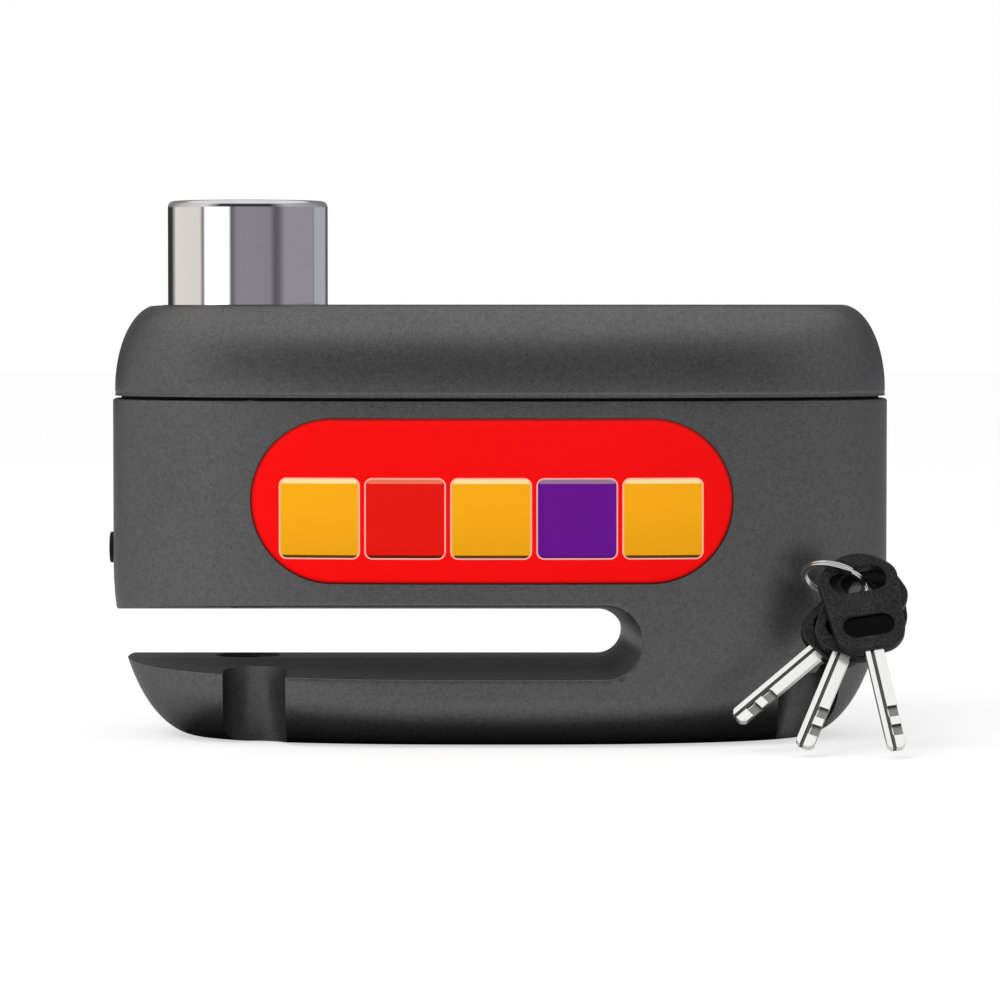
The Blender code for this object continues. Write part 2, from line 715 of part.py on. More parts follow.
def make_cover():
    quarter = math.pi / 2
    side = COVER_Z + COVER_SIDE_HEIGHT
    rise = COVER_TOP_Z - side
    levels = [(COVER_Z, COVER_LIP_INSET), (COVER_Z + COVER_LIP_HEIGHT, 0.0)]
    for i in range(COVER_ROUND_STEPS + 1):
        angle = quarter * i / COVER_ROUND_STEPS
        levels.append((side + rise * math.sin(angle), COVER_ROUND_IN * (1 - math.cos(angle))))
    cover = loft("top_cover", [cover_ring(height, inset) for height, inset in levels], cast_paint())
    below = COVER_Z - CUT_PAST
    axis = (KNOB_X, 0.0)
    cut(cover,
        rod("cover_bore", (*axis, below), (*axis, COVER_TOP_Z + CUT_PAST), BARREL_BORE_R, sides=BORE_SIDES),
        rod("seal_seat", (*axis, SEAL_SEAT_Z), (*axis, COVER_TOP_Z + CUT_PAST),
            BARREL_BORE_R + SEAL_WIDTH + SEAT_GAP, sides=BORE_SIDES),
        guide_groove("cover_groove", below, GROOVE_TOP_Z),
        cavity_cutter("cover_pocket", below, COVER_POCKET_Z))
    for name, (x, across), side_sign, _, _ in screw_spots():
        cut(cover, rod("thread_" + name, (x, side_sign * across, below),
                       (x, side_sign * across, SCREW_TIP_Z + SEAT_GAP), SHANK_HOLE_R, sides=SCREW_SIDES))


def make_gasket():
    """A flat gasket between body and cover, holed for all that passes the parting line."""
    outline = superellipse(HALF_LENGTH - GASKET_INSET, HALF_DEPTH - GASKET_INSET, PLAN_EXPONENT, PLAN_POINTS)
    cavity = round_rect((CAVITY_X[0], -CAVITY_HALF_Y), (CAVITY_X[1], CAVITY_HALF_Y), CAVITY_CORNER)
    gasket = plate("cover_gasket", [outline, cavity], GASKET_THICKNESS, black_rubber())
    place(gasket, (0.0, 0.0, PARTING_Z + GASKET_GAP + GASKET_THICKNESS / 2))
    low, high = PARTING_Z - CUT_PAST, PARTING_Z + CUT_PAST
    cut(gasket,
        rod("gasket_bore", (KNOB_X, 0.0, low), (KNOB_X, 0.0, high), BARREL_BORE_R, sides=BORE_SIDES),
        bounds_box("gasket_groove", (KNOB_X, -GROOVE_HALF, low), (CAVITY_X[0] + CUT_PAST / 2, GROOVE_HALF, high)))
    for name, (x, across), side, _, _ in screw_spots():
        cut(gasket, rod("gasket_" + name, (x, side * across, low), (x, side * across, high),
                        SHANK_HOLE_R, sides=SCREW_SIDES))


def make_cover_screws():
    """Long screws put in from below, heads down, with a hexagon socket."""
    for name, (x, across), side, seat, _ in screw_spots():
        top = SCREW_TIP_Z
        head_top = seat - SEAT_GAP
        head_low = head_top - SCREW_HEAD_HEIGHT
        edge = SCREW_HEAD_HEIGHT / 5
        screw = turned("cover_screw_" + name, [
            (0.0, top), (SCREW_R * 0.6, top), (SCREW_R, top - SCREW_R * 0.5), (SCREW_R, head_top),
            (SCREW_HEAD_R, head_top), (SCREW_HEAD_R, head_low + edge), (SCREW_HEAD_R - edge, head_low),
            (0.0, head_low)], steel(), steps=SCREW_SIDES)
        place(screw, (x, side * across, 0.0))
        cut(screw, rod("hex_" + name, (x, side * across, head_low - CUT_PAST),
                       (x, side * across, head_low + SCREW_HEX_DEPTH), SCREW_HEX_R, sides=6))


def make_label():
    label = label_shell("label_plate", 0.0, LABEL_THICKNESS - LABEL_PROUD, red_label())
    levels = [LABEL_Z[0] - CUT_PAST, LABEL_Z[0], END_ROUND_Z, LABEL_Z[1] + CUT_PAST]
    skin = loft("label_skin", [body_ring(level, -LABEL_PROUD) for level in levels])
    combine(label, as_cutter(skin), "INTERSECT")


def make_side_plug():
    """A rubber plug with a domed head in the left end."""
    outer = PLUG_PROUD + PLUG_LENGTH
    dome = PLUG_PROUD * 0.6
    plug = turned("side_plug", [(0.0, outer), (PLUG_R * 0.7, outer - dome * 0.2), (PLUG_R, outer - dome),
                                (PLUG_R, 0.0), (0.0, 0.0)], black_rubber(), steps=32)
    place(plug, (plug_inner_x(), 0.0, PLUG_Z), (0.0, -math.pi / 2, 0.0))


def make_knob_seal():
    """A wiper ring in the mouth of the cover's bore."""
    inner = BARREL_BORE_R
    outer = inner + SEAL_WIDTH
    low = SEAL_SEAT_Z + SEAT_GAP
    top = low + SEAL_HEIGHT
    lip = SEAL_HEIGHT / 4
    seal = turned("knob_seal", [
        (inner, low), (inner, top - lip), (inner + lip, top), (outer - lip, top), (outer, top - lip),
        (outer, low), (inner, low)], black_rubber(), steps=BORE_SIDES)
    place(seal, (KNOB_X, 0.0, 0.0))


# ========================================================================================
# Plunger: knob barrel, pin, spring and key cylinder
# ========================================================================================
def ramp_rib():
    """The rib on the barrel whose face leans out by RAMP_RISE as it goes up."""
    low = KNOB_BOTTOM_Z + SEAT_GAP
    root = KNOB_R - CORE_WALL
    rib = bounds_box("ramp_rib", (root, -RIB_HALF_WIDTH, low), (KNOB_R + RIB_REACH, RIB_HALF_WIDTH, RIB_TOP_Z))
    for vertex in rib.data.vertices:
        if vertex.co.x > KNOB_R and vertex.co.z > (low + RIB_TOP_Z) / 2:
            vertex.co.x += RAMP_RISE * (RIB_TOP_Z - low)
    return rib


def make_barrel():
    edge = KNOB_EDGE
    profile = [
        (0.0, CORE_FLOOR_Z), (CORE_BORE_R, CORE_FLOOR_Z), (CORE_BORE_R, CORE_SHOULDER_Z),
        (SNAP_GROOVE_R, CORE_SHOULDER_Z), (SNAP_GROOVE_R, SNAP_GROOVE_TOP_Z),
        (CORE_BORE_R, SNAP_GROOVE_TOP_Z), (CORE_BORE_R, KNOB_TOP_Z - edge / 4),
        (CORE_BORE_R + edge / 4, KNOB_TOP_Z)]
    profile += [(KNOB_R - edge + edge * math.sin(a), KNOB_TOP_Z - edge + edge * math.cos(a))
                for a in (math.pi / 2 * i / 4 for i in range(5))]
    profile += [
        (KNOB_R, KNOB_BOTTOM_Z + edge), (KNOB_R - edge, KNOB_BOTTOM_Z), (SPRING_RECESS_R, KNOB_BOTTOM_Z),
        (SPRING_RECESS_R, SPRING_SEAT_Z), (PIN_BORE_R, SPRING_SEAT_Z), (PIN_BORE_R, PIN_HEAD_Z + SEAT_GAP),
        (0.0, PIN_HEAD_Z + SEAT_GAP)]
    barrel = turned("knob_barrel", profile, chrome(), steps=BORE_SIDES)
    place(barrel, (KNOB_X, 0.0, 0.0))
    rib = ramp_rib()
    place(rib, (KNOB_X, 0.0, 0.0))
    join(barrel, rib)
    tail = DOG_TAIL + DOG_TRAVEL + SEAT_GAP
    cut(barrel,
        bounds_box("dog_channel", (KNOB_X - tail, -DOG_HALF_WIDTH - SEAT_GAP, DOG_BOTTOM_Z - SEAT_GAP),
                   (KNOB_X + KNOB_R + CUT_PAST, DOG_HALF_WIDTH + SEAT_GAP, CORE_FLOOR_Z + CAM_THICKNESS / 2)),
        rod("cross_hole", (KNOB_X, -KNOB_R - CUT_PAST, CROSS_PIN_Z), (KNOB_X, KNOB_R + CUT_PAST, CROSS_PIN_Z),
            CROSS_PIN_R + SEAT_GAP, sides=PIN_SIDES))


def make_locking_pin():
    pin = turned("locking_pin", [
        (0.0, PIN_HEAD_Z), (PIN_R - PIN_POINT / 2, PIN_HEAD_Z), (PIN_R, PIN_HEAD_Z - PIN_POINT / 2),
        (PIN_R, PIN_TIP_Z + PIN_POINT), (PIN_R - PIN_POINT, PIN_TIP_Z), (0.0, PIN_TIP_Z)], steel(), steps=PIN_SIDES)
    place(pin, (KNOB_X, 0.0, 0.0))
    cut(pin, rod("pin_cross_hole", (KNOB_X, -KNOB_R, CROSS_PIN_Z), (KNOB_X, KNOB_R, CROSS_PIN_Z),
                 CROSS_PIN_R + SEAT_GAP, sides=PIN_SIDES))
    rod("cross_pin", (KNOB_X, -CROSS_PIN_HALF, CROSS_PIN_Z), (KNOB_X, CROSS_PIN_HALF, CROSS_PIN_Z),
        CROSS_PIN_R, steel(), sides=20)


def make_return_spring():
    bottom = BARREL_FLOOR_Z + SEAT_GAP
    spring = coil("return_spring", (SPRING_COIL_R, SPRING_COIL_R), SPRING_WIRE_R, bottom,
                  SPRING_SEAT_Z - SEAT_GAP - bottom, SPRING_TURNS, steel())
    place(spring, (KNOB_X, 0.0, 0.0))


def keyway(name, low, high):
    """Cutter for the keyway through the core or a disc."""
    return bounds_box(name, (KNOB_X - KEYWAY_WIDTH / 2, -KEYWAY_HEIGHT / 2, low),
                      (KNOB_X + KEYWAY_WIDTH / 2, KEYWAY_HEIGHT / 2, high))


def make_core():
    """The turning sleeve: a nose with the keyway, and a shoulder that its snap ring holds down."""
    inner = CORE_R - CORE_WALL
    nose = CORE_NOSE_R
    core = turned("lock_core", [
        (0.0, CORE_TOP_Z), (nose - CORE_EDGE, CORE_TOP_Z), (nose, CORE_TOP_Z - CORE_EDGE),
        (nose, CORE_SHOULDER_Z - SEAT_GAP), (CORE_R, CORE_SHOULDER_Z - SEAT_GAP), (CORE_R, CORE_BOTTOM_Z),
        (inner, CORE_BOTTOM_Z), (inner, CORE_TOP_Z - CORE_FACE), (0.0, CORE_TOP_Z - CORE_FACE)],
        brass(), steps=PIN_SIDES)
    place(core, (KNOB_X, 0.0, 0.0))
    cut(core, keyway("core_keyway", CORE_TOP_Z - CORE_FACE - CUT_PAST / 4, CORE_TOP_Z + CUT_PAST))


def make_snap_ring():
    """An open ring in the barrel's wall, over the core's shoulder."""
    low = CORE_SHOULDER_Z + SEAT_GAP / 2
    top = low + SNAP_RING_HEIGHT
    inner, outer = CORE_NOSE_R + SEAT_GAP, SNAP_GROOVE_R - SEAT_GAP
    ring = turned("snap_ring", [(inner, low), (inner, top), (outer, top), (outer, low), (inner, low)],
                  steel(), steps=PIN_SIDES)
    place(ring, (KNOB_X, 0.0, 0.0))
    half = SNAP_RING_MOUTH / 2
    cut(ring, bounds_box("snap_mouth", (KNOB_X - outer - CUT_PAST, -half, low - CUT_PAST),
                         (KNOB_X, half, top + CUT_PAST)))


def make_code_discs():
    """A stack of code discs in the core, under its face."""
    radius = CORE_R - CORE_WALL - SEAT_GAP
    for i in range(DISC_COUNT):
        top = CORE_TOP_Z - CORE_FACE - SEAT_GAP - i * (DISC_THICKNESS + SEAT_GAP)
        disc = rod("code_disc_%d" % (i + 1), (KNOB_X, 0.0, top - DISC_THICKNESS), (KNOB_X, 0.0, top),
                   radius, brass(), sides=32)
        cut(disc, keyway("disc_keyway_%d" % (i + 1), top - DISC_THICKNESS - CUT_PAST, top + CUT_PAST))


def make_cam_and_dog():
    """The cam's peg turns a quarter under the core and draws the dog in by DOG_TRAVEL."""
    cam = rod("drive_cam", (KNOB_X, 0.0, CAM_TOP_Z - CAM_THICKNESS), (KNOB_X, 0.0, CAM_TOP_Z),
              CORE_R - SEAT_GAP, steel(), sides=32)
    peg = (KNOB_X + CAM_PEG_ORBIT * math.cos(math.pi / 4), CAM_PEG_ORBIT * math.sin(math.pi / 4))
    join(cam, rod("cam_peg", (*peg, DOG_BOTTOM_Z + SEAT_GAP), (*peg, CAM_TOP_Z - CAM_THICKNESS / 2),
                  CAM_PEG_R, sides=20))
    dog = bounds_box("latch_dog", (KNOB_X - DOG_TAIL, -DOG_HALF_WIDTH, DOG_BOTTOM_Z),
                     (KNOB_X + KNOB_R + DOG_REACH, DOG_HALF_WIDTH, DOG_TOP_Z), steel())
    room = CAM_PEG_R + SEAT_GAP
    cut(dog, bounds_box("peg_slot", (peg[0] - room, -SEAT_GAP, DOG_BOTTOM_Z - CUT_PAST),
                        (peg[0] + room, DOG_HALF_WIDTH + CUT_PAST, DOG_TOP_Z + CUT_PAST)))


# ========================================================================================
# Electronics
# ========================================================================================
def make_switch():
    """A small switch whose button follows the ramp rib."""
    rib_face = KNOB_X + KNOB_R + RIB_REACH + RAMP_RISE * (SWITCH_Z - KNOB_BOTTOM_Z)
    tip = rib_face + SEAT_GAP
    end = CAVITY_X[0] - SEAT_GAP
    start = end - SWITCH_LENGTH
    low = switch_floor() + SEAT_GAP
    body = bounds_box("switch_body", (start, -SWITCH_HALF_WIDTH, low), (end, SWITCH_HALF_WIDTH, low + SWITCH_HEIGHT),
                      black_plastic())
    cut(body, rod("button_pocket", (start - CUT_PAST, 0.0, SWITCH_Z), (start + BUTTON_POCKET, 0.0, SWITCH_Z),
                  BUTTON_R + SEAT_GAP, sides=20))
    rod("switch_button", (tip, 0.0, SWITCH_Z), (tip + BUTTON_LENGTH, 0.0, SWITCH_Z), BUTTON_R, steel(), sides=20)


def tray_box():
    """Corners of the battery tray in X and Y."""
    x_low = CAVITY_X[0] + SEAT_GAP
    x_high = TRAY_END_X
    return x_low, x_high, CAVITY_HALF_Y - SEAT_GAP


def make_battery():
    """Two stacks of button cells in a tray, joined below by a bridge and sprung from above."""
    x_low, x_high, half_y = tray_box()
    low = CAVITY_FLOOR_Z + SEAT_GAP
    floor = low + TRAY_FLOOR
    corner = CAVITY_CORNER
    outline = round_rect((x_low, -half_y), (x_high, half_y), corner)
    tray = place(plate("battery_tray", [outline], TRAY_TOP_Z - low, black_plastic()),
                 (0.0, 0.0, (TRAY_TOP_Z + low) / 2))
    half_x, bridge_y = BRIDGE_HALF
    cut(tray, bounds_box("bridge_notch", (STACK_X - half_x - SEAT_GAP, -bridge_y, floor),
                         (STACK_X + half_x + SEAT_GAP, bridge_y, floor + BRIDGE_THICKNESS + 2 * SEAT_GAP)))
    bounds_box("contact_bridge", (STACK_X - half_x, -bridge_y, floor + SEAT_GAP / 2),
               (STACK_X + half_x, bridge_y, floor + SEAT_GAP / 2 + BRIDGE_THICKNESS), steel())
    place(plate("battery_lid", [outline], LID_THICKNESS, black_plastic()),
          (0.0, 0.0, TRAY_TOP_Z + SEAT_GAP + LID_THICKNESS / 2))
    first = floor + BRIDGE_THICKNESS + SEAT_GAP
    number = 0
    for face, side in (("front", -1), ("back", 1)):
        y = side * STACK_Y
        cut(tray, rod("cell_pocket_" + face, (STACK_X, y, floor), (STACK_X, y, TRAY_TOP_Z + CUT_PAST),
                      CELL_POCKET_R, sides=28))
        for level in range(CELLS_IN_STACK):
            number += 1
            make_cell("battery_cell_%d" % number, (STACK_X, y, first + level * CELL_STEP))
        top_cell = first + (CELLS_IN_STACK - 1) * CELL_STEP + CELL_HEIGHT
        bottom = top_cell + SEAT_GAP / 2
        spring = coil("contact_spring_" + face, (CONTACT_COIL_R, CONTACT_COIL_R / 2), CONTACT_WIRE_R, bottom,
                      TRAY_TOP_Z + SEAT_GAP / 2 - bottom, CONTACT_TURNS, steel())
        place(spring, (STACK_X, y, 0.0))


def make_cell(name, foot):
    """A button cell with a raised lower pole."""
    step = CELL_R * 0.8
    cell = turned(name, [
        (0.0, CELL_HEIGHT), (CELL_R - CELL_EDGE, CELL_HEIGHT), (CELL_R, CELL_HEIGHT - CELL_EDGE),
        (CELL_R, CELL_EDGE * 2), (step, CELL_EDGE), (step, 0.0), (0.0, 0.0)], steel(), steps=18)
    place(cell, foot)


def make_board():
    """The circuit board stands on edge between battery and siren, with its chip and sensor."""
    low = CAVITY_FLOOR_Z + SEAT_GAP
    front = BOARD_Y - BOARD_THICKNESS
    bounds_box("circuit_board", (BOARD_X[0], front, low), (BOARD_X[1], BOARD_Y, low + BOARD_HEIGHT), board_green())
    middle = low + BOARD_HEIGHT / 2
    sx, sy, sz = CHIP_SIZE
    bounds_box("control_chip", (CHIP_X - sx / 2, front - SEAT_GAP - sy, middle - sz / 2),
               (CHIP_X + sx / 2, front - SEAT_GAP, middle + sz / 2), black_plastic())
    y = front - SEAT_GAP - SENSOR_R
    rod("vibration_sensor", (SENSOR_X, y, middle - SENSOR_HEIGHT / 2), (SENSOR_X, y, middle + SENSOR_HEIGHT / 2),
        SENSOR_R, brass(), sides=28)


def make_siren():
    """A round can that faces the slits in the back wall, with a piezo disc inside."""
    length, wall = SIREN_LENGTH, SIREN_WALL
    inner = SIREN_R - wall
    can = turned("siren_housing", [
        (0.0, wall), (inner, wall), (inner, length - wall), (SIREN_PORT_R, length - wall),
        (SIREN_PORT_R, length), (SIREN_R - wall / 2, length), (SIREN_R, length - wall / 2),
        (SIREN_R, 0.0), (0.0, 0.0)], black_plastic(), steps=PIN_SIDES)
    foot = CAVITY_HALF_Y - SEAT_GAP - length
    place(can, (SIREN_X, foot, SIREN_Z), (-math.pi / 2, 0.0, 0.0))
    disc = foot + wall + PIEZO_DEPTH
    rod("piezo_disc", (SIREN_X, disc, SIREN_Z), (SIREN_X, disc + PIEZO_THICKNESS, SIREN_Z),
        inner - SEAT_GAP, brass(), sides=PIN_SIDES)


# ========================================================================================
# Keys and ring
# ========================================================================================
def head_outline(shift):
    """Outline of a key head: broad round shoulders, tapering to a narrower foot."""
    top, foot = HEAD_TOP, -HEAD_FOOT
    shoulder = HEAD_TOP_HALF - HEAD_CORNER
    heel = HEAD_FOOT_HALF - HEAD_FOOT_CORNER
    outline = arc((shoulder, top - HEAD_CORNER), HEAD_CORNER, 0, 90, 6)
    outline += arc((-shoulder, top - HEAD_CORNER), HEAD_CORNER, 90, 180, 6)
    outline += arc((-heel, foot + HEAD_FOOT_CORNER), HEAD_FOOT_CORNER, 180, 270, 4)
    outline += arc((heel, foot + HEAD_FOOT_CORNER), HEAD_FOOT_CORNER, 270, 360, 4)
    return [(x - shift, y) for x, y in outline]


def make_key(name, rack, layer, turn, shift):
    """A steel blade in a moulded head, hinged where the ring passes through its eye."""
    pivot = bpy.data.objects.new("pivot_" + name, None)
    collection(MAIN).objects.link(pivot)
    pivot.parent = rack
    place(pivot, (0.0, 0.0, layer * KEY_STEP), (0.0, 0.0, turn))

    eye = list(reversed(stadium(EYE_HALF_LENGTH, EYE_HALF_HEIGHT, (-shift, 0.0), steps=6)))
    head = plate("key_head_" + name, [head_outline(shift), eye], HEAD_THICKNESS, black_plastic())
    head.parent = pivot
    edge = head.modifiers.new("soft_edge", "BEVEL")
    edge.width = HEAD_EDGE
    edge.segments = 1
    edge.limit_method = "ANGLE"
    edge.angle_limit = math.radians(50.0)

    half = HEAD_THICKNESS / 2
    thumb = plate("thumb_" + name, [stadium(THUMB_HALF_LENGTH, THUMB_HALF_HEIGHT, steps=6)], HEAD_THICKNESS)
    thumb.parent = pivot
    place(thumb, (-shift, THUMB_Y, half - THUMB_DEPTH + half))
    fit = BLADE_WIDTH / 2 + KEY_FIT
    thick = BLADE_THICKNESS / 2 + KEY_FIT
    socket = bounds_box("socket_" + name, (-shift - fit, -HEAD_FOOT - CUT_PAST / 4, -thick),
                        (-shift + fit, -HEAD_FOOT + BLADE_TANG, thick))
    socket.parent = pivot
    cut(head, thumb, socket)
    make_blade(name, pivot, shift)


def make_blade(name, pivot, shift):
    """A flat blade with a groove along each face and two bits cut near its tip."""
    half, thick = BLADE_WIDTH / 2, BLADE_THICKNESS / 2
    top = -HEAD_FOOT + BLADE_TANG - KEY_FIT
    outline = [(half, top), (-half, top), (-half, -BLADE_TIP + BLADE_POINT), (-half + BLADE_POINT, -BLADE_TIP),
               (half - BLADE_POINT, -BLADE_TIP), (half, -BLADE_TIP + BLADE_POINT)]
    blade = plate("key_blade_" + name, [[(x - shift, y) for x, y in outline]], BLADE_THICKNESS, chrome())
    blade.parent = pivot
    tools = []
    for face, sign in (("front", 1), ("back", -1)):
        groove_half = BLADE_GROOVE_WIDTH / 2
        depth = BLADE_GROOVE_DEPTH
        z = sorted((sign * (thick - depth), sign * (thick + depth)))
        tools.append(bounds_box("groove_%s_%s" % (face, name),
                                (BLADE_GROOVE_X - shift - groove_half, -BLADE_TIP - depth, z[0]),
                                (BLADE_GROOVE_X - shift + groove_half, -HEAD_FOOT - depth, z[1])))
    for i, place_up in enumerate(BIT_PLACES):
        tools.append(bounds_box("bit_%d_%s" % (i + 1, name),
                                (half - shift - BIT_WIDTH, -BLADE_TIP + place_up, thick - BLADE_THICKNESS / 2),
                                (half - shift + BIT_WIDTH, -BLADE_TIP + place_up + BIT_HEIGHT, thick + depth)))
    for tool in tools:
        tool.parent = pivot
    cut(blade, *tools)


def make_key_ring(rack):
    """A split ring through the eyes, standing square to the key heads."""
    bpy.ops.mesh.primitive_torus_add(major_radius=RING_R, minor_radius=RING_WIRE_R, major_segments=36,
                                     minor_segments=8)
    ring = bpy.context.object
    ring.name = "key_ring"
    ring.data.name = "key_ring"
    for holder in list(ring.users_collection):
        holder.objects.unlink(ring)
    collection(MAIN).objects.link(ring)
    ring.data.materials.append(chrome())
    ring.data.shade_smooth()
    ring.parent = rack
    away = Vector((-math.cos(RING_TILT), math.sin(RING_TILT), 0.0)) * RING_R
    place(ring, away, (math.pi / 2, 0.0, -RING_TILT))


def make_keys():
    rack = bpy.data.objects.new("key_rack", None)
    collection(MAIN).objects.link(rack)
    place(rack, (RACK_X, RACK_Y, RACK_Z), (math.pi / 2 - RACK_LEAN, 0.0, 0.0))
    for name, layer, turn, shift in KEYS:
        make_key(name, rack, layer, turn, shift)
    make_key_ring(rack)


def main():
    clear_scene()
    make_body()
    make_cover()
    make_gasket()
    make_cover_screws()
    make_label()
    make_side_plug()
    make_knob_seal()
    make_barrel()
    make_locking_pin()
    make_return_spring()
    make_core()
    make_snap_ring()
    make_code_discs()
    make_cam_and_dog()
    make_switch()
    make_battery()
    make_board()
    make_siren()
    make_keys()
    bpy.context.view_layer.update()


main()
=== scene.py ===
"""Looks of a motorcycle disc brake lock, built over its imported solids.

The cast body, its cover, the push knob, the label and the keys are made again here as fine surfaces over
the same sizes, and every solid that stays gets a finish of its own.  Lengths are in metres: +Z is up, +X
runs along the body away from the knob, and -Y is the front with the label.
"""

import json  # noqa: E402
import logging  # noqa: E402
import math  # noqa: E402
from dataclasses import dataclass, field  # noqa: E402
from enum import Enum  # noqa: E402
from functools import cached_property, lru_cache, reduce  # noqa: E402
from operator import add  # noqa: E402
from typing import Any, Callable, Iterable, Sequence, Union  # noqa: E402

import bmesh  # noqa: E402
import bpy  # noqa: E402
import numpy as np  # noqa: E402
from mathutils import Matrix, Vector  # noqa: E402

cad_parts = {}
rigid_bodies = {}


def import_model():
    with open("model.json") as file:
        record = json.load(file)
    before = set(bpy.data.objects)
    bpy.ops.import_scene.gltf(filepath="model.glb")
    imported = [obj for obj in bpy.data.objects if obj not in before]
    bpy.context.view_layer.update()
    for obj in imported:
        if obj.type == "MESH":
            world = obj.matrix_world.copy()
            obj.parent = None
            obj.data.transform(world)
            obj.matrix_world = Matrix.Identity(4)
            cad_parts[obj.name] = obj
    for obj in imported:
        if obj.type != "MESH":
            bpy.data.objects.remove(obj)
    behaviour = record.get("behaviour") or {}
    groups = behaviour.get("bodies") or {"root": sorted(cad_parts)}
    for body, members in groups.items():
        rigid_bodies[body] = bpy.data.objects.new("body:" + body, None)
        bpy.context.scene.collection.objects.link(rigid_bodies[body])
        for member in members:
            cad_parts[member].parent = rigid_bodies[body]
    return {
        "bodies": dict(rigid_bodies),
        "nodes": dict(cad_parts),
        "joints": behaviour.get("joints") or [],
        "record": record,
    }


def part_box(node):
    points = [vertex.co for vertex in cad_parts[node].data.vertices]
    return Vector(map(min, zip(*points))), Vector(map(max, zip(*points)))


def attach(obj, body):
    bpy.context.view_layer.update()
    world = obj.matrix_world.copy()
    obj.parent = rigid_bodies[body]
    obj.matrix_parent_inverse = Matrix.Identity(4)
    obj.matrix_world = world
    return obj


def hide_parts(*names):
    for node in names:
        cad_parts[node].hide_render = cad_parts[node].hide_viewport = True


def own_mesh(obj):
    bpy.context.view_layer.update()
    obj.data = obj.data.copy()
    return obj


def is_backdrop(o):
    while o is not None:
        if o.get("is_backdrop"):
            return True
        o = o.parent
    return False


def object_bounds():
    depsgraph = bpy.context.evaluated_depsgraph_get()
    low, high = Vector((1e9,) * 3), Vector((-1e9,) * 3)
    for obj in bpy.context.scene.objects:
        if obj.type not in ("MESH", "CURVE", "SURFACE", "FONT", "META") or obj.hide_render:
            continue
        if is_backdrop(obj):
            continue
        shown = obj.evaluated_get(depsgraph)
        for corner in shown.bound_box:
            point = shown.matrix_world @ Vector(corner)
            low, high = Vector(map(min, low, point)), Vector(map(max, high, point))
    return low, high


LOG = logging.getLogger("disc_lock")
Array = np.ndarray
Number = Union[float, "Sock"]
Pair = tuple[float, float]
Triple = tuple[float, float, float]
QUARTER = math.pi / 2
MILLI = 1000.0


# ---- Shader nodes ----
def operation(kind: str, swapped: bool = False) -> Callable[..., "Sock"]:
    """Make a method that adds one Math node on a socket and other values.

    Args:
        kind: The node's operation, such as MULTIPLY.
        swapped: Whether the other value comes first, as in 1 - mask.

    Returns:
        The method.
    """
    def method(self: "Sock", *others: Number) -> "Sock":
        """The node's result for this and the others."""
        values = (*others, self) if swapped else (self, *others)
        node = self.shade.node("Math", {"operation": kind}, dict(enumerate(values)))
        return Sock(self.shade, node.outputs[0])
    return method


class Sock:
    """A number socket on which Python arithmetic adds Math nodes."""

    __add__ = __radd__ = operation("ADD")
    __mul__ = __rmul__ = operation("MULTIPLY")
    __sub__, __rsub__ = operation("SUBTRACT"), operation("SUBTRACT", swapped=True)
    __truediv__, __pow__, __abs__ = operation("DIVIDE"), operation("POWER"), operation("ABSOLUTE")
    __lt__, __gt__, larger = operation("LESS_THAN"), operation("GREATER_THAN"), operation("MAXIMUM")
    floor, root, sine, bearing = (operation(kind) for kind in ("FLOOR", "SQRT", "SINE", "ARCTAN2"))

    def __init__(self, shade: "Shade", socket: bpy.types.NodeSocket) -> None:
        """Wrap an output socket of a node in that shade's tree."""
        self.shade = shade
        self.socket = socket

    def step(self, low: float, high: float) -> "Sock":
        """Smooth step of this, from 0 at low to 1 at high, which may lie below low."""
        node = self.shade.node("MapRange", {"interpolation_type": "SMOOTHSTEP"},
                               {"Value": self, "From Min": low, "From Max": high})
        return Sock(self.shade, node.outputs["Result"])


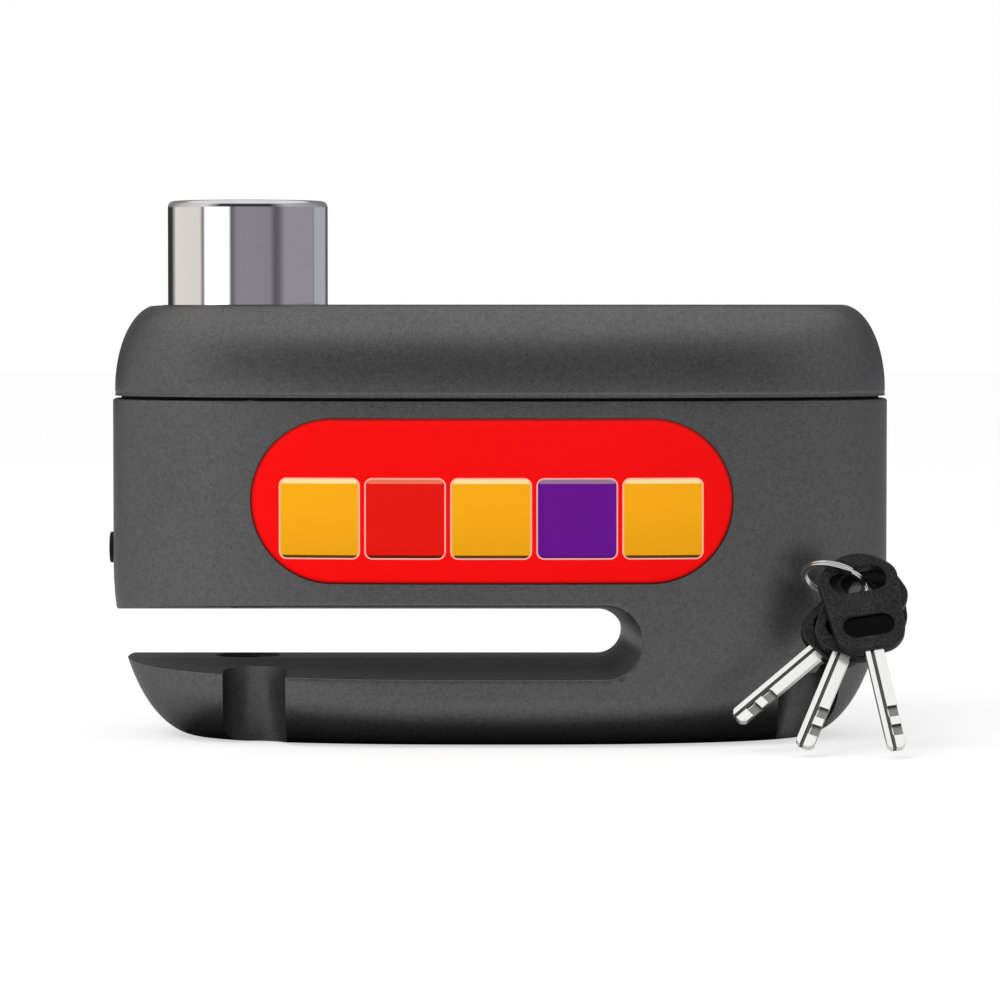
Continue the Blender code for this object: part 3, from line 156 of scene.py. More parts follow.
class Shade:
    """A node tree with one method that adds nodes, and short names for the common ones."""

    def __init__(self, owner: bpy.types.Material | bpy.types.World) -> None:
        """Empty the tree of a material or world and keep it."""
        owner.use_nodes = True
        self.tree = owner.node_tree
        self.tree.nodes.clear()

    def node(self, kind: str, settings: dict[str, Any] | None = None,
             sockets: dict[Any, Any] | None = None) -> bpy.types.Node:
        """Add a node.

        Args:
            kind: Its type, as it follows ShaderNode.
            settings: Its properties; "stops" gives a colour ramp's places and colours, and "ramp" its way.
            sockets: Its inputs by name or number, as numbers, colours, vectors, Socks or output sockets.

        Returns:
            The node.
        """
        node = self.tree.nodes.new("ShaderNode" + kind)
        for name, value in (settings or {}).items():
            if name == "stops":
                stops = node.color_ramp.elements
                while len(stops) < len(value):
                    stops.new(0.5)
                for stop, (place, colour) in zip(stops, value):
                    stop.position = place
                    stop.color = (*colour, 1.0)
            elif name == "ramp":
                node.color_ramp.interpolation = value
            else:
                setattr(node, name, value)
        for name, value in (sockets or {}).items():
            socket = node.inputs[name]
            if isinstance(value, Sock):
                value = value.socket
            if isinstance(value, bpy.types.NodeSocket):
                self.tree.links.new(value, socket)
            else:
                socket.default_value = (*value, 1.0) if socket.type == "RGBA" else value
        return node

    @cached_property
    def place(self) -> bpy.types.NodeSocket:
        """Object coordinates, in metres."""
        return self.node("TexCoord").outputs["Object"]

    def axes(self, vector: bpy.types.NodeSocket | None = None) -> tuple[Sock, ...]:
        """The three parts of a vector, or of the place."""
        node = self.node("SeparateXYZ", {}, {0: vector or self.place})
        return tuple(Sock(self, output) for output in node.outputs)

    def joined(self, *parts: Number) -> bpy.types.NodeSocket:
        """A vector of those parts."""
        return self.node("CombineXYZ", {}, dict(enumerate(parts))).outputs[0]

    def scaled(self, scale: Triple) -> bpy.types.NodeSocket:
        """The place, scaled along each axis."""
        return self.node("VectorMath", {"operation": "MULTIPLY"}, {0: self.place, 1: scale}).outputs[0]

    def along(self, origin: Triple, direction: Triple) -> Sock:
        """Distance of the place from an origin along a direction, as a dot product."""
        away = self.node("VectorMath", {"operation": "SUBTRACT"}, {0: self.place, 1: origin}).outputs[0]
        dot = self.node("VectorMath", {"operation": "DOT_PRODUCT"}, {0: away, 1: direction})
        return Sock(self, dot.outputs["Value"])

    def noise(self, scale: float, detail: float = 2.0, rough: float = 0.5,
              vector: bpy.types.NodeSocket | None = None) -> Sock:
        """Perlin noise from 0 to 1 over the place or another vector, with about scale features in a metre."""
        node = self.node("TexNoise", {}, {"Vector": vector or self.place, "Scale": scale, "Detail": detail,
                                          "Roughness": rough})
        return Sock(self, node.outputs["Fac"])

    def cells(self, scale: float) -> Sock:
        """Soft cells, as the distance to the nearest of scattered points."""
        node = self.node("TexVoronoi", {"feature": "SMOOTH_F1"}, {"Vector": self.place, "Scale": scale})
        return Sock(self, node.outputs["Distance"])

    def mix(self, low: Any, high: Any, share: Number) -> bpy.types.NodeSocket:
        """Blend of two colours or colour sockets, by a share that is clamped to 0 and 1."""
        return self.node("Mix", {"data_type": "RGBA", "clamp_factor": True}, {0: share, 6: low, 7: high}).outputs[2]

    def ramp(self, value: Number, stops: Iterable[tuple[float, Triple]], way: str = "LINEAR") -> bpy.types.NodeSocket:
        """Colour of a value on a ramp of (place, colour) stops."""
        return self.node("ValToRGB", {"ramp": way, "stops": list(stops)}, {"Fac": value}).outputs["Color"]

    def greys(self, value: Number, stops: Iterable[Pair]) -> bpy.types.NodeSocket:
        """Grey of a value on a ramp of (place, level) stops."""
        return self.ramp(value, [(place, (level,) * 3) for place, level in stops])

    def bump(self, height: Number, depth: float, strength: float) -> bpy.types.NodeSocket:
        """Normal of a relief from 0 to 1 that is depth metres deep, of which the share strength shows."""
        sockets = {"Height": height, "Distance": depth, "Strength": strength}
        return self.node("Bump", {}, sockets).outputs["Normal"]

    def plain(self, kind: str, colour: Any) -> bpy.types.NodeSocket:
        """A shader of one colour: BsdfDiffuse, Emission or Background."""
        return self.node(kind, {}, {"Color": colour}).outputs[0]

    def either(self, share: Any, first: Any, second: Any) -> bpy.types.NodeSocket:
        """The first shader where share is 0 and the second where it is 1."""
        return self.node("MixShader", {}, {0: share, 1: first, 2: second}).outputs[0]

    def end(self, shader: bpy.types.NodeSocket, kind: str = "OutputMaterial") -> None:
        """Lead a shader to the tree's output."""
        self.node(kind, {}, {"Surface": shader})

    def surface(self, **sockets: Any) -> None:
        """End the tree in a Principled shader with those inputs, where _ stands for a space."""
        named = {name.replace("_", " "): value for name, value in sockets.items()}
        self.end(self.node("BsdfPrincipled", {}, named).outputs[0])


# ---- Finishes ----
def darker(colour: Triple, share: float) -> Triple:
    """A colour times a share."""
    return tuple(level * share for level in colour)


@dataclass(frozen=True)
class Finish:
    """A finish: its name, the slot of the record that it stands for, and its nodes."""

    name: str
    slot: str

    def paint(self, shade: Shade) -> None:
        """Fill the material's tree."""
        raise NotImplementedError

    @lru_cache(maxsize=None)
    def material(self) -> bpy.types.Material:
        """The material, made on first use."""
        material = bpy.data.materials.new(self.name)
        self.paint(Shade(material))
        return material


@dataclass(frozen=True)
class PowderCoat(Finish):
    """Satin anthracite coat with a fine sparkle, a little uneven as cast parts are."""

    dark: Triple = (0.096, 0.096, 0.098)
    light: Triple = (0.178, 0.178, 0.180)
    metallic: float = 0.80
    roughness: float = 0.34
    rim_tint: float = 0.55
    grains: float = 5200.0

    def paint(self, shade: Shade) -> None:
        """Two noises of grain over a slow cloud, in colour, roughness and relief."""
        grain = shade.noise(self.grains, 3.0, 0.65)
        pores = shade.noise(self.grains * 0.32)
        cloud = shade.noise(60.0, 3.0, 0.55)
        share = 0.5 + (grain - 0.5) * 2.2 + (pores - 0.5) * 0.7 + (cloud - 0.5) * 0.35
        shade.surface(
            Base_Color=shade.mix(self.dark, self.light, share), Metallic=self.metallic,
            Specular_Tint=(self.rim_tint,) * 3,
            Roughness=self.roughness + (grain - 0.5) * 0.22 + (cloud - 0.5) * 0.08,
            Normal=shade.bump(grain * 0.6 + pores * 0.4, 0.00005, 0.55))


@dataclass(frozen=True)
class Chrome(Finish):
    """Polished chrome with faint turning lines and a film of handling marks."""

    tint: Triple = (0.80, 0.80, 0.80)
    roughness: float = 0.035
    lines: float = 9000.0

    def paint(self, shade: Shade) -> None:
        """Lines are a noise squeezed along the turning axis; marks are a slow noise."""
        lines = shade.noise(1.0, vector=shade.scaled((60.0, 60.0, self.lines)))
        marks = shade.noise(380.0, 4.0, 0.62).step(0.56, 0.80)
        shade.surface(
            Base_Color=shade.mix(self.tint, darker(self.tint, 0.97), marks), Metallic=1.0,
            Roughness=self.roughness + marks * 0.03 + (lines - 0.5) * 0.03,
            Normal=shade.bump(lines, 0.000002, 0.35))


@dataclass(frozen=True)
class OnKey(Finish):
    """A finish laid out on a key: axes across, along and square to it, and its origin."""

    frame: tuple[Triple, ...]

    def reach(self, shade: Shade) -> tuple[Sock, ...]:
        """Distances from the key's origin across, along and square to it."""
        *axes, origin = self.frame
        return tuple(shade.along(origin, axis) for axis in axes)


@dataclass(frozen=True)
class MilledSteel(OnKey):
    """Nickel-plated blade steel, brushed lengthways, with painted shade in its milled groove and bits."""

    groove: Pair
    face: float
    bits: Pair
    tint: Triple = (0.93, 0.93, 0.92)
    groove_shade: Triple = (0.035, 0.035, 0.035)
    metallic: float = 0.78
    roughness: float = 0.21
    strokes: float = 9000.0
    cutter_step: float = 0.00019

    def paint(self, shade: Shade) -> None:
        """Strokes are a noise stretched along the key; painted shade is a band in the groove and fills what lies deep.
        """
        across, along, square = self.reach(shade)
        brushed = shade.joined(across * self.strokes, along * 260.0, square * self.strokes)
        strokes = shade.noise(1.0, 3.0, 0.6, brushed)
        centre, half = self.groove
        sunk = abs(across - centre).step(half * 1.05, half * 0.75) * abs(square).step(self.face, self.face - 0.00006)
        pocket = (across > centre + half * 1.5) * abs(square).step(self.face - 0.00005, self.face - 0.00011)
        milled = pocket * (along > self.bits[0] - 0.0001) * (along < self.bits[1] + 0.0001) * (square > -0.0003)
        cutter = (along * (math.tau / self.cutter_step)).sine() * 0.5 + 0.5
        colour = shade.mix(self.tint, darker(self.tint, 0.82), (strokes - 0.35) * 0.9)
        # painted shade in the milled bits, lighter and darker in stripes along the cutter marks
        colour = shade.mix(colour, shade.mix((0.10, 0.10, 0.10), (0.42, 0.42, 0.41), cutter), milled)
        shade.surface(
            # painted shade inside the groove
            Base_Color=shade.mix(colour, self.groove_shade, sunk * 0.92), Metallic=self.metallic,
            Roughness=self.roughness + (strokes - 0.5) * 0.16 + milled * 0.16 + sunk * 0.2,
            Normal=shade.bump(strokes + cutter * milled, 0.000008, 0.5))


@dataclass(frozen=True)
class KeyPlastic(OnKey):
    """Black key plastic: a spark-eroded skin, a polished thumb recess with painted shade in it, and edges rubbed a
    little lighter.
    """

    face: float
    thumb: Triple
    black: Triple = (0.0015, 0.0015, 0.0016)
    worn: Triple = (0.026, 0.026, 0.027)
    rubbed: Triple = (0.06, 0.06, 0.06)
    dulled: float = 0.80

    def paint(self, shade: Shade) -> None:
        """The recess is where the distance to a stadium's spine is under its radius, on the front face."""
        across, along, square = self.reach(shade)
        middle, half_length, half_height = self.thumb
        past = (abs(across) - (half_length - half_height)).larger(0.0)
        spine = (past ** 2.0 + (along - middle) ** 2.0).root()
        recess = spine.step(half_height + 0.00004, half_height - 0.00012) * (square > 0.0)
        skin = 1.0 - recess
        grain = shade.noise(4800.0, 2.0, 0.6)
        hands = shade.noise(300.0, 3.0).step(0.42, 0.7)
        edge = abs(square).step(self.face - 0.00030, self.face - 0.00012) * abs(square).step(
            self.face - 0.00002, self.face - 0.00010) * skin
        colour = shade.mix(self.black, self.worn, (grain - 0.5) * 3.0 + 0.35 + hands * 0.15)
        # painted shade in the thumb recess
        colour = shade.mix(colour, (0.002, 0.002, 0.002), recess * 0.9)
        shade.surface(
            Base_Color=shade.mix(colour, self.rubbed, edge * 0.35), Specular_IOR_Level=0.22,
            Metallic=recess * self.dulled,
            Roughness=0.50 - hands * 0.10 + (grain - 0.5) * 0.2 - recess * 0.16,
            Normal=shade.bump((shade.cells(5200.0) * 0.55 + grain * 0.45) * skin, 0.00004, 0.6))


@dataclass(frozen=True)
class TurnedMetal(Finish):
    """Metal turned about an upright axis: rings round the axis and along its length."""

    centre: Pair
    tint: Triple = (0.62, 0.45, 0.18)
    dark: Triple = (0.40, 0.27, 0.09)
    roughness: float = 0.27
    pitch: float = 0.00016

    def paint(self, shade: Shade) -> None:
        """Rings are a sine of the distance from the axis plus height, broken up by a noise."""
        x, y, z = shade.axes()
        from_axis = ((x - self.centre[0]) ** 2.0 + (y - self.centre[1]) ** 2.0).root()
        blur = shade.noise(700.0, 3.0, 0.6)
        rings = ((from_axis + z) * (math.tau / self.pitch) + blur * 5.0).sine() * 0.5 + 0.5
        shade.surface(
            Base_Color=shade.mix(self.tint, self.dark, blur.step(0.45, 0.8) * 0.7 + rings * 0.12), Metallic=1.0,
            Roughness=self.roughness + rings * 0.08 + (blur - 0.5) * 0.2,
            Normal=shade.bump(rings, 0.000004, 0.4))


@dataclass(frozen=True)
class Rubber(Finish):
    """Matte black moulded rubber with a dusty bloom."""

    black: Triple = (0.004, 0.004, 0.004)
    dusty: Triple = (0.014, 0.014, 0.0135)

    def paint(self, shade: Shade) -> None:
        """Bloom is a slow noise that greys the black; the skin is a fine one."""
        bloom = shade.noise(420.0, 3.0, 0.6)
        shade.surface(
            Base_Color=shade.mix(self.black, self.dusty, bloom), Specular_IOR_Level=0.3,
            Roughness=0.66 + (bloom - 0.5) * 0.25, Normal=shade.bump(shade.noise(6000.0), 0.00003, 0.5))


@dataclass(frozen=True)
class MouldedPlastic(Finish):
    """Black plastic with a spark-eroded texture, polished a little by hands."""

    black: Triple = (0.008, 0.008, 0.0085)
    worn: Triple = (0.026, 0.026, 0.027)

    def paint(self, shade: Shade) -> None:
        """Texture is a cellular pattern over a noise; handling smooths it in patches."""
        grain = shade.noise(7500.0)
        hands = shade.noise(260.0, 3.0).step(0.42, 0.7)
        shade.surface(
            Base_Color=shade.mix(self.black, self.worn, grain * 0.5 + hands * 0.35),
            Roughness=0.50 - hands * 0.14 + (grain - 0.5) * 0.12,
            Normal=shade.bump(shade.cells(4800.0) * 0.6 + grain * 0.4, 0.00003, 0.45))


@dataclass(frozen=True)
class LabelFilm(Finish):
    """Glossy red film printed with a row of plain rounded tiles."""

    first: Pair = (-0.02080, 0.02650)
    pitch: float = 0.00989
    half: float = 0.00468
    corner: float = 0.0009
    line: float = 0.00015
    centre: Pair = (-0.00095, 0.0285)
    size: Pair = (0.02785, 0.0095)
    red: Triple = (0.96, 0.0015, 0.001)
    rim: Triple = (0.14, 0.004, 0.002)
    outline: Triple = (0.95, 0.52, 0.44)
    gleam: Triple = (1.0, 0.80, 0.42)
    shadow: Triple = (0.035, 0.002, 0.001)
    # colour of the painted shade low on the amber tiles
    foot: Triple = (0.93, 0.40, 0.005)
    tiles: tuple[Triple, ...] = (
        (0.94, 0.41, 0.005), (0.78, 0.006, 0.002), (0.94, 0.41, 0.005), (0.13, 0.004, 0.26), (0.94, 0.41, 0.005))

    def paint(self, shade: Shade) -> None:
        """Each tile is a rounded box: the distance to its edge gives fill, painted highlight and painted shadow, and
        outline.
        """
        x, _, z = shade.axes()
        along = (x - self.first[0]) / self.pitch + 0.5
        number = along.floor()
        across = (along - number - 0.5) * self.pitch
        up = z - self.first[1]
        reach, half = self.half - self.corner, self.half
        out_x, out_z = ((abs(way) - reach).larger(0.0) for way in (across, up))
        edge = (out_x ** 2.0 + out_z ** 2.0).root() - self.corner
        in_row = (number > -0.5) * (number < len(self.tiles) - 0.5)
        inside = edge.step(0.00002, -0.00002) * in_row
        outline = abs(edge + self.line / 2).step(self.line * 0.75, self.line * 0.35) * in_row

        share = 1.0 / len(self.tiles)
        fill = shade.ramp((number + 0.5) * share, [(i * share, c) for i, c in enumerate(self.tiles)], "CONSTANT")
        halved = number * 0.5
        amber = (halved - halved.floor()) < 0.25
        purple = (number > 2.5) * (number < 3.5)
        sides = abs(across).step(half - 0.00022, half - 0.00050)
        # masks of a painted highlight along each tile's top and a painted shadow along its bottom
        gleam = up.step(half - 0.00072, half - 0.00056) * up.step(half - 0.00012, half - 0.00022) * sides
        shadow = up.step(-half + 0.00056, -half + 0.00040) * sides
        # painted shade: amber tiles darker towards the bottom, then the painted highlight and painted shadow
        fill = shade.mix(fill, darker(self.foot, 0.86), up.step(half * 0.5, -half) * amber * 0.7)
        fill = shade.mix(fill, self.gleam, gleam * (0.22 + amber * 0.63))
        fill = shade.mix(fill, self.shadow, shadow * (0.92 - purple * 0.6))

        past = (abs(x - self.centre[0]) - (self.size[0] - self.size[1])).larger(0.0)
        deep = self.size[1] - (past ** 2.0 + (z - self.centre[1]) ** 2.0).root()
        ground = shade.mix(self.red, darker(self.red, 0.93), shade.noise(9000.0, 2.0, 0.6))
        ground = shade.mix(ground, self.rim, deep.step(0.00046, 0.00004) * 0.85)
        film = shade.noise(900.0)
        shade.surface(
            Base_Color=shade.mix(shade.mix(ground, fill, inside), self.outline, outline * 0.85),
            Specular_IOR_Level=0.10, Roughness=0.33 + (film - 0.5) * 0.12 + inside * 0.05,
            Normal=shade.bump(film * 0.5 + inside * 0.5, 0.00002, 0.25))


@dataclass(frozen=True)
class SolderMask(Finish):
    """Green solder mask over copper tracks."""

    pitch: float = 0.0021
    green: Triple = (0.010, 0.085, 0.030)
    light: Triple = (0.016, 0.12, 0.045)
    copper: Triple = (0.05, 0.26, 0.10)

    def paint(self, shade: Shade) -> None:
        """Tracks are a brick pattern's joints in the plane of the board."""
        x, _, z = shade.axes()
        bricks = shade.node("TexBrick", {"offset": 0.37, "squash": 0.7, "squash_frequency": 3},
                            {"Vector": shade.joined(x, z), "Scale": 1.0, "Mortar Size": self.pitch * 0.09,
                             "Brick Width": self.pitch * 2.3, "Row Height": self.pitch})
        track = Sock(shade, bricks.outputs["Fac"])
        weave = shade.noise(3500.0)
        shade.surface(
            Base_Color=shade.mix(shade.mix(self.green, self.light, weave), self.copper, track),
            Roughness=0.30 + (weave - 0.5) * 0.1, Normal=shade.bump(track, 0.00003, 0.6))


@dataclass(frozen=True)
class DrawnSteel(Finish):
    """Plated steel of screws, wire and stampings."""

    tint: Triple = (0.56, 0.56, 0.57)
    roughness: float = 0.26

    def paint(self, shade: Shade) -> None:
        """Fine hairlines under a patchy plating."""
        patches = shade.noise(800.0, 4.0, 0.6)
        hair = shade.noise(1.0, vector=shade.scaled((9000.0, 9000.0, 600.0)))
        shade.surface(
            Base_Color=shade.mix(darker(self.tint, 0.72), self.tint, patches.step(0.25, 0.65)), Metallic=1.0,
            Roughness=self.roughness + (patches - 0.5) * 0.22 + (hair - 0.5) * 0.1,
            Normal=shade.bump(hair, 0.000006, 0.5))


# ---- Surfaces ----
class Ends(Enum):
    """How a run of rings ends."""

    CAPPED = "capped"      # a flat face over the first and the last ring
    OPEN = "open"          # nothing: the last points meet in a pole or a seam
    LOOPED = "looped"      # the last ring joins the first


@dataclass
class Shell:
    """Points and faces of a surface that is not in the scene yet."""

    points: Array
    quads: Array
    flats: list[list[int]] = field(default_factory=list)

    def __add__(self, other: "Shell") -> "Shell":
        """Both shells as one."""
        shift = len(self.points)
        flats = self.flats + [[i + shift for i in flat] for flat in other.flats]
        return Shell(np.vstack([self.points, other.points]), np.vstack([self.quads, other.quads + shift]), flats)

    def moved(self, matrix: Array) -> "Shell":
        """The shell with a 4 x 4 matrix applied to each point."""
        return Shell(self.points @ matrix[:3, :3].T + matrix[:3, 3], self.quads, self.flats)

    def volume(self) -> float:
        """Signed volume: a sixth of the summed triple products of fans from each face's first point."""
        p = self.points
        fans = [p[self.quads[:, [0, second, second + 1]]].transpose(1, 0, 2) for second in (1, 2)]
        for flat in self.flats:
            ring = p[flat]
            fans.append((np.broadcast_to(ring[0], ring[1:-1].shape), ring[1:-1], ring[2:]))
        return sum(np.einsum("ij,ij->", a, np.cross(b, c)) for a, b, c in fans) / 6.0

    def outward(self) -> "Shell":
        """The shell with its faces turned to point outwards."""
        if self.volume() >= 0.0:
            return self
        return Shell(self.points, self.quads[:, ::-1], [flat[::-1] for flat in self.flats])

    def piece(self, name: str) -> bpy.types.Object:
        """Put the shell in the scene as an object, with its coincident points merged."""
        mesh = bpy.data.meshes.new(name)
        mesh.from_pydata(self.points.tolist(), [], self.quads.tolist() + self.flats)
        shape = bmesh.new()
        shape.from_mesh(mesh)
        bmesh.ops.remove_doubles(shape, verts=shape.verts, dist=1e-7)
        bmesh.ops.dissolve_degenerate(shape, edges=shape.edges, dist=1e-8)
        shape.to_mesh(mesh)
        shape.free()
        item = bpy.data.objects.new(name, mesh)
        bpy.context.scene.collection.objects.link(item)
        return item


def merged(shells: Iterable[Shell]) -> Shell:
    """Shells as one."""
    return reduce(add, shells)


def loft(rings: Array, ends: Ends = Ends.CAPPED) -> Shell:
    """Surface through rings of points: quad (r, c) joins points c and c+1 of ring r to those of ring r+1.

    Args:
        rings: Points as rows x columns x 3; the columns close on themselves.
        ends: What happens at the first and the last ring.

    Returns:
        The shell, facing outwards where it is closed.
    """
    rows, columns = rings.shape[:2]
    index = np.arange(rows * columns).reshape(rows, columns)
    flats = [index[0][::-1].tolist(), index[-1].tolist()] if ends is Ends.CAPPED else []
    if ends is Ends.LOOPED:
        index = np.vstack([index, index[:1]])
    ahead = np.roll(index, -1, axis=1)
    quads = np.stack([index[:-1], ahead[:-1], ahead[1:], index[1:]], axis=-1).reshape(-1, 4)
    return Shell(rings.reshape(-1, 3), quads, flats).outward()


def stacked(layers: Iterable[tuple[Array, float]], axis: int = 2) -> Shell:
    """Surface through flat outlines, each square to an axis at its own place along it."""
    return loft(np.stack([np.insert(outline, axis, place, axis=1) for outline, place in layers]))


def spun(angle: Array) -> Array:
    """Directions (cos a, sin a, 0)."""
    return np.stack([np.cos(angle), np.sin(angle), np.zeros_like(angle)], axis=-1)


def turned(profile: Sequence[Sequence[float]], centre: Pair = (0.0, 0.0), segments: int = 128, steps: int = 6,
           closed: bool = False) -> Shell:
    """Surface of revolution about an upright axis: point (p, s) is (r cos s, r sin s, z) of profile point p.

    Args:
        profile: Radius and height of each profile point, with the length that a fillet cuts back, if any.
        centre: X and Y of the axis.
        segments: Points round it.
        steps: Points along each fillet.
        closed: Whether the profile joins its own start; otherwise it starts and ends on the axis.

    Returns:
        The shell.
    """
    radius, height = rounded(profile, steps).T
    around = spun(np.linspace(0.0, math.tau, segments, endpoint=False))
    rings = radius[:, None, None] * around + np.insert(np.tile(centre, (len(height), 1)), 2, height, axis=1)[:, None]
    return loft(rings, Ends.LOOPED if closed else Ends.OPEN)


def prism(outline: Array, low: float, high: float) -> Shell:
    """An outline in X and Y carried straight up from low to high."""
    return stacked([(outline, low), (outline, high)])


def post(centre: Pair, radius: float, low: float, high: float, count: int) -> Shell:
    """An upright round bar between two heights."""
    return prism(circle(centre, radius, count), low, high)


def block(low: Triple, high: Triple) -> Shell:
    """A square cutter between two corners."""
    (x0, y0, z0), (x1, y1, z1) = low, high
    return prism(np.array([(x0, y0), (x1, y0), (x1, y1), (x0, y1)]), z0, z1)


def swept(path: Array, across: Array, outward: Array, section: Array, ends: Ends = Ends.CAPPED) -> Shell:
    """A section carried along a path: point (i, j) is path i plus section j along its two directions.

    Args:
        path: Points of the path.
        across: Direction of the section's first axis at each point.
        outward: Direction of its second axis at each point.
        section: Outline of the section in those two axes.
        ends: What happens at the path's ends.

    Returns:
        The shell.
    """
    return loft(path[:, None] + section[None, :, :1] * across[:, None] + section[None, :, 1:] * outward[:, None], ends)


# ---- Outlines ----
def arc(centre: Pair, radius: float, start: float, end: float, steps: int) -> Array:
    """Points centre + radius (cos a, sin a) for a from start to end, in degrees, both ends included."""
    angle = np.radians(np.linspace(start, end, steps + 1))
    return np.column_stack([centre[0] + radius * np.cos(angle), centre[1] + radius * np.sin(angle)])


def circle(centre: Pair, radius: float, count: int) -> Array:
    """Points round a circle, anticlockwise."""
    return arc(centre, radius, 0.0, 360.0, count)[:-1]


def round_rect(low: Pair, high: Pair, corner: float, steps: int = 8) -> Array:
    """A rectangle with round corners, anticlockwise."""
    (x0, y0), (x1, y1) = low, high
    corners = ((x1 - corner, y1 - corner), (x0 + corner, y1 - corner), (x0 + corner, y0 + corner),
               (x1 - corner, y0 + corner))
    return np.vstack([arc(c, corner, 90.0 * i, 90.0 * (i + 1), steps) for i, c in enumerate(corners)])


def stadium(half_length: float, half_height: float, centre: Pair = (0.0, 0.0), steps: int = 24) -> Array:
    """A bar with half-round ends, anticlockwise."""
    reach = half_length - half_height
    return np.vstack([arc((centre[0] + reach, centre[1]), half_height, -90.0, 90.0, steps),
                      arc((centre[0] - reach, centre[1]), half_height, 90.0, 270.0, steps)])


def rounded(profile: Sequence[Sequence[float]], steps: int) -> Array:
    """A profile whose corners are filleted.

    Each corner with a third number is cut back by that length along both its sides, and the two cuts are
    joined by the quadratic curve a(1-t)^2 + 2bt(1-t) + ct^2 through the corner b.

    Args:
        profile: Points as (u, v) or (u, v, cut).
        steps: Points along each fillet.

    Returns:
        The points of the filleted profile.
    """
    points = [np.array(p[:2], float) for p in profile]
    t = np.linspace(0.0, 1.0, steps + 1)[:, None]
    out: list[Array] = []
    for i, (b, (_, _, *cut)) in enumerate(zip(points, profile)):
        if cut:
            sides = (points[i - 1] - b, points[i + 1] - b)
            a, c = (b + side / np.linalg.norm(side) * cut[0] for side in sides)
            out.append(a * (1 - t) ** 2 + 2 * b * t * (1 - t) + c * t ** 2)
        else:
            out.append(b[None])
    return np.vstack(out)


def eased(share: Array) -> Array:
    """Smooth step of a share: s^2 (3 - 2 s)."""
    return share * share * (3 - 2 * share)


def inset_outline(outline: Array, distance: float) -> Array:
    """An outline moved in by a distance along its own normals, found from the points on either side."""
    ahead = np.roll(outline, -1, axis=0) - np.roll(outline, 1, axis=0)
    ahead /= np.maximum(np.linalg.norm(ahead, axis=1, keepdims=True), 1e-12)
    return outline + np.column_stack([-ahead[:, 1], ahead[:, 0]]) * distance


# ---- Placing ----
def turn_matrix(axis: int, angle: float) -> Array:
    """4 x 4 turn about axis 0, 1 or 2, in radians."""
    matrix = np.eye(4)
    i, j = (axis + 1) % 3, (axis + 2) % 3
    matrix[i, i] = matrix[j, j] = math.cos(angle)
    matrix[i, j], matrix[j, i] = -math.sin(angle), math.sin(angle)
    return matrix


def shift_matrix(move: Sequence[float]) -> Array:
    """4 x 4 move."""
    matrix = np.eye(4)
    matrix[:3, 3] = move
    return matrix


# ---- Pieces in the scene ----
def evaluated(piece: bpy.types.Object) -> None:
    """Apply a piece's modifiers to its mesh."""
    graph = bpy.context.evaluated_depsgraph_get()
    graph.update()
    mesh = bpy.data.meshes.new_from_object(piece.evaluated_get(graph))
    piece.modifiers.clear()
    old = piece.data
    piece.data = mesh
    mesh.name = piece.name
    bpy.data.meshes.remove(old)


def shaped(piece: bpy.types.Object, joins: Sequence[Shell], cuts: Sequence[Shell]) -> None:
    """Join shells to a piece and cut others out of it, by exact Booleans worked in millimetres.

    Args:
        piece: The object that is worked on.
        joins: Shells that are united with it.
        cuts: Shells that are cut out after that.
    """
    tools = []
    piece.data.transform(Matrix.Scale(MILLI, 4))
    for kind, shells in (("UNION", joins), ("DIFFERENCE", cuts)):
        for shell in shells:
            tool = Shell(shell.points * MILLI, shell.quads, shell.flats).piece("tool")
            step = piece.modifiers.new(kind.lower(), "BOOLEAN")
            step.operation, step.solver, step.object = kind, "EXACT", tool
            tools.append(tool)
    evaluated(piece)
    for tool in tools:
        mesh = tool.data
        bpy.data.objects.remove(tool)
        bpy.data.meshes.remove(mesh)
    if not piece.data.polygons:
        raise ValueError(f"nothing is left of {piece.name}")
    piece.data.transform(Matrix.Scale(1.0 / MILLI, 4))


def smoothed(piece: bpy.types.Object, angle: float) -> None:
    """Shade a piece smooth, with edges above an angle in degrees sharp and large faces leading the normals."""
    mesh = piece.data
    mesh.polygons.foreach_set("use_smooth", np.ones(len(mesh.polygons), bool))
    mesh.set_sharp_from_angle(angle=math.radians(angle))
    step = piece.modifiers.new("weighted", "WEIGHTED_NORMAL")
    step.keep_sharp = True
    evaluated(piece)


@dataclass
class Assembly:
    """A sub-assembly: the frame's nodes and the pieces that it puts in the scene."""

    frame: dict[str, Any]

    def make(self, name: str, shell: Shell, finish: Finish, node: str, sharp: float, body: str = "lock_body",
             joins: Sequence[Shell] = (), cuts: Sequence[Shell] = (), place: Array | None = None) -> bpy.types.Object:
        """Make a piece, finish it and let it ride on its body.

        Args:
            name: The piece's name.
            shell: Its surface.
            finish: Its finish.
            node: The solid that it stands for.
            sharp: Angle between faces, in degrees, above which an edge stays sharp.
            body: The body that carries it.
            joins: Shells that are united with it.
            cuts: Shells that are cut out after that.
            place: Matrix that puts it in its place after the cuts.

        Returns:
            The piece.
        """
        piece = shell.piece(name)
        if joins or cuts:
            shaped(piece, joins, cuts)
        if place is not None:
            piece.data.transform(Matrix(place.tolist()))
        smoothed(piece, sharp)
        piece.data.materials.clear()
        piece.data.materials.append(finish.material())
        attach(piece, body)
        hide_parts(node)
        LOG.info("%s rides on %s, %d faces", name, body, len(piece.data.polygons))
        return piece

    def dress(self, finish: Finish, *nodes: str) -> None:
        """Give solids that stay a finish of their own."""
        for name in nodes:
            item = self.frame["nodes"][name]
            item.data.materials.clear()
            item.data.materials.append(finish.material())
            LOG.info("%s keeps its solid", name)


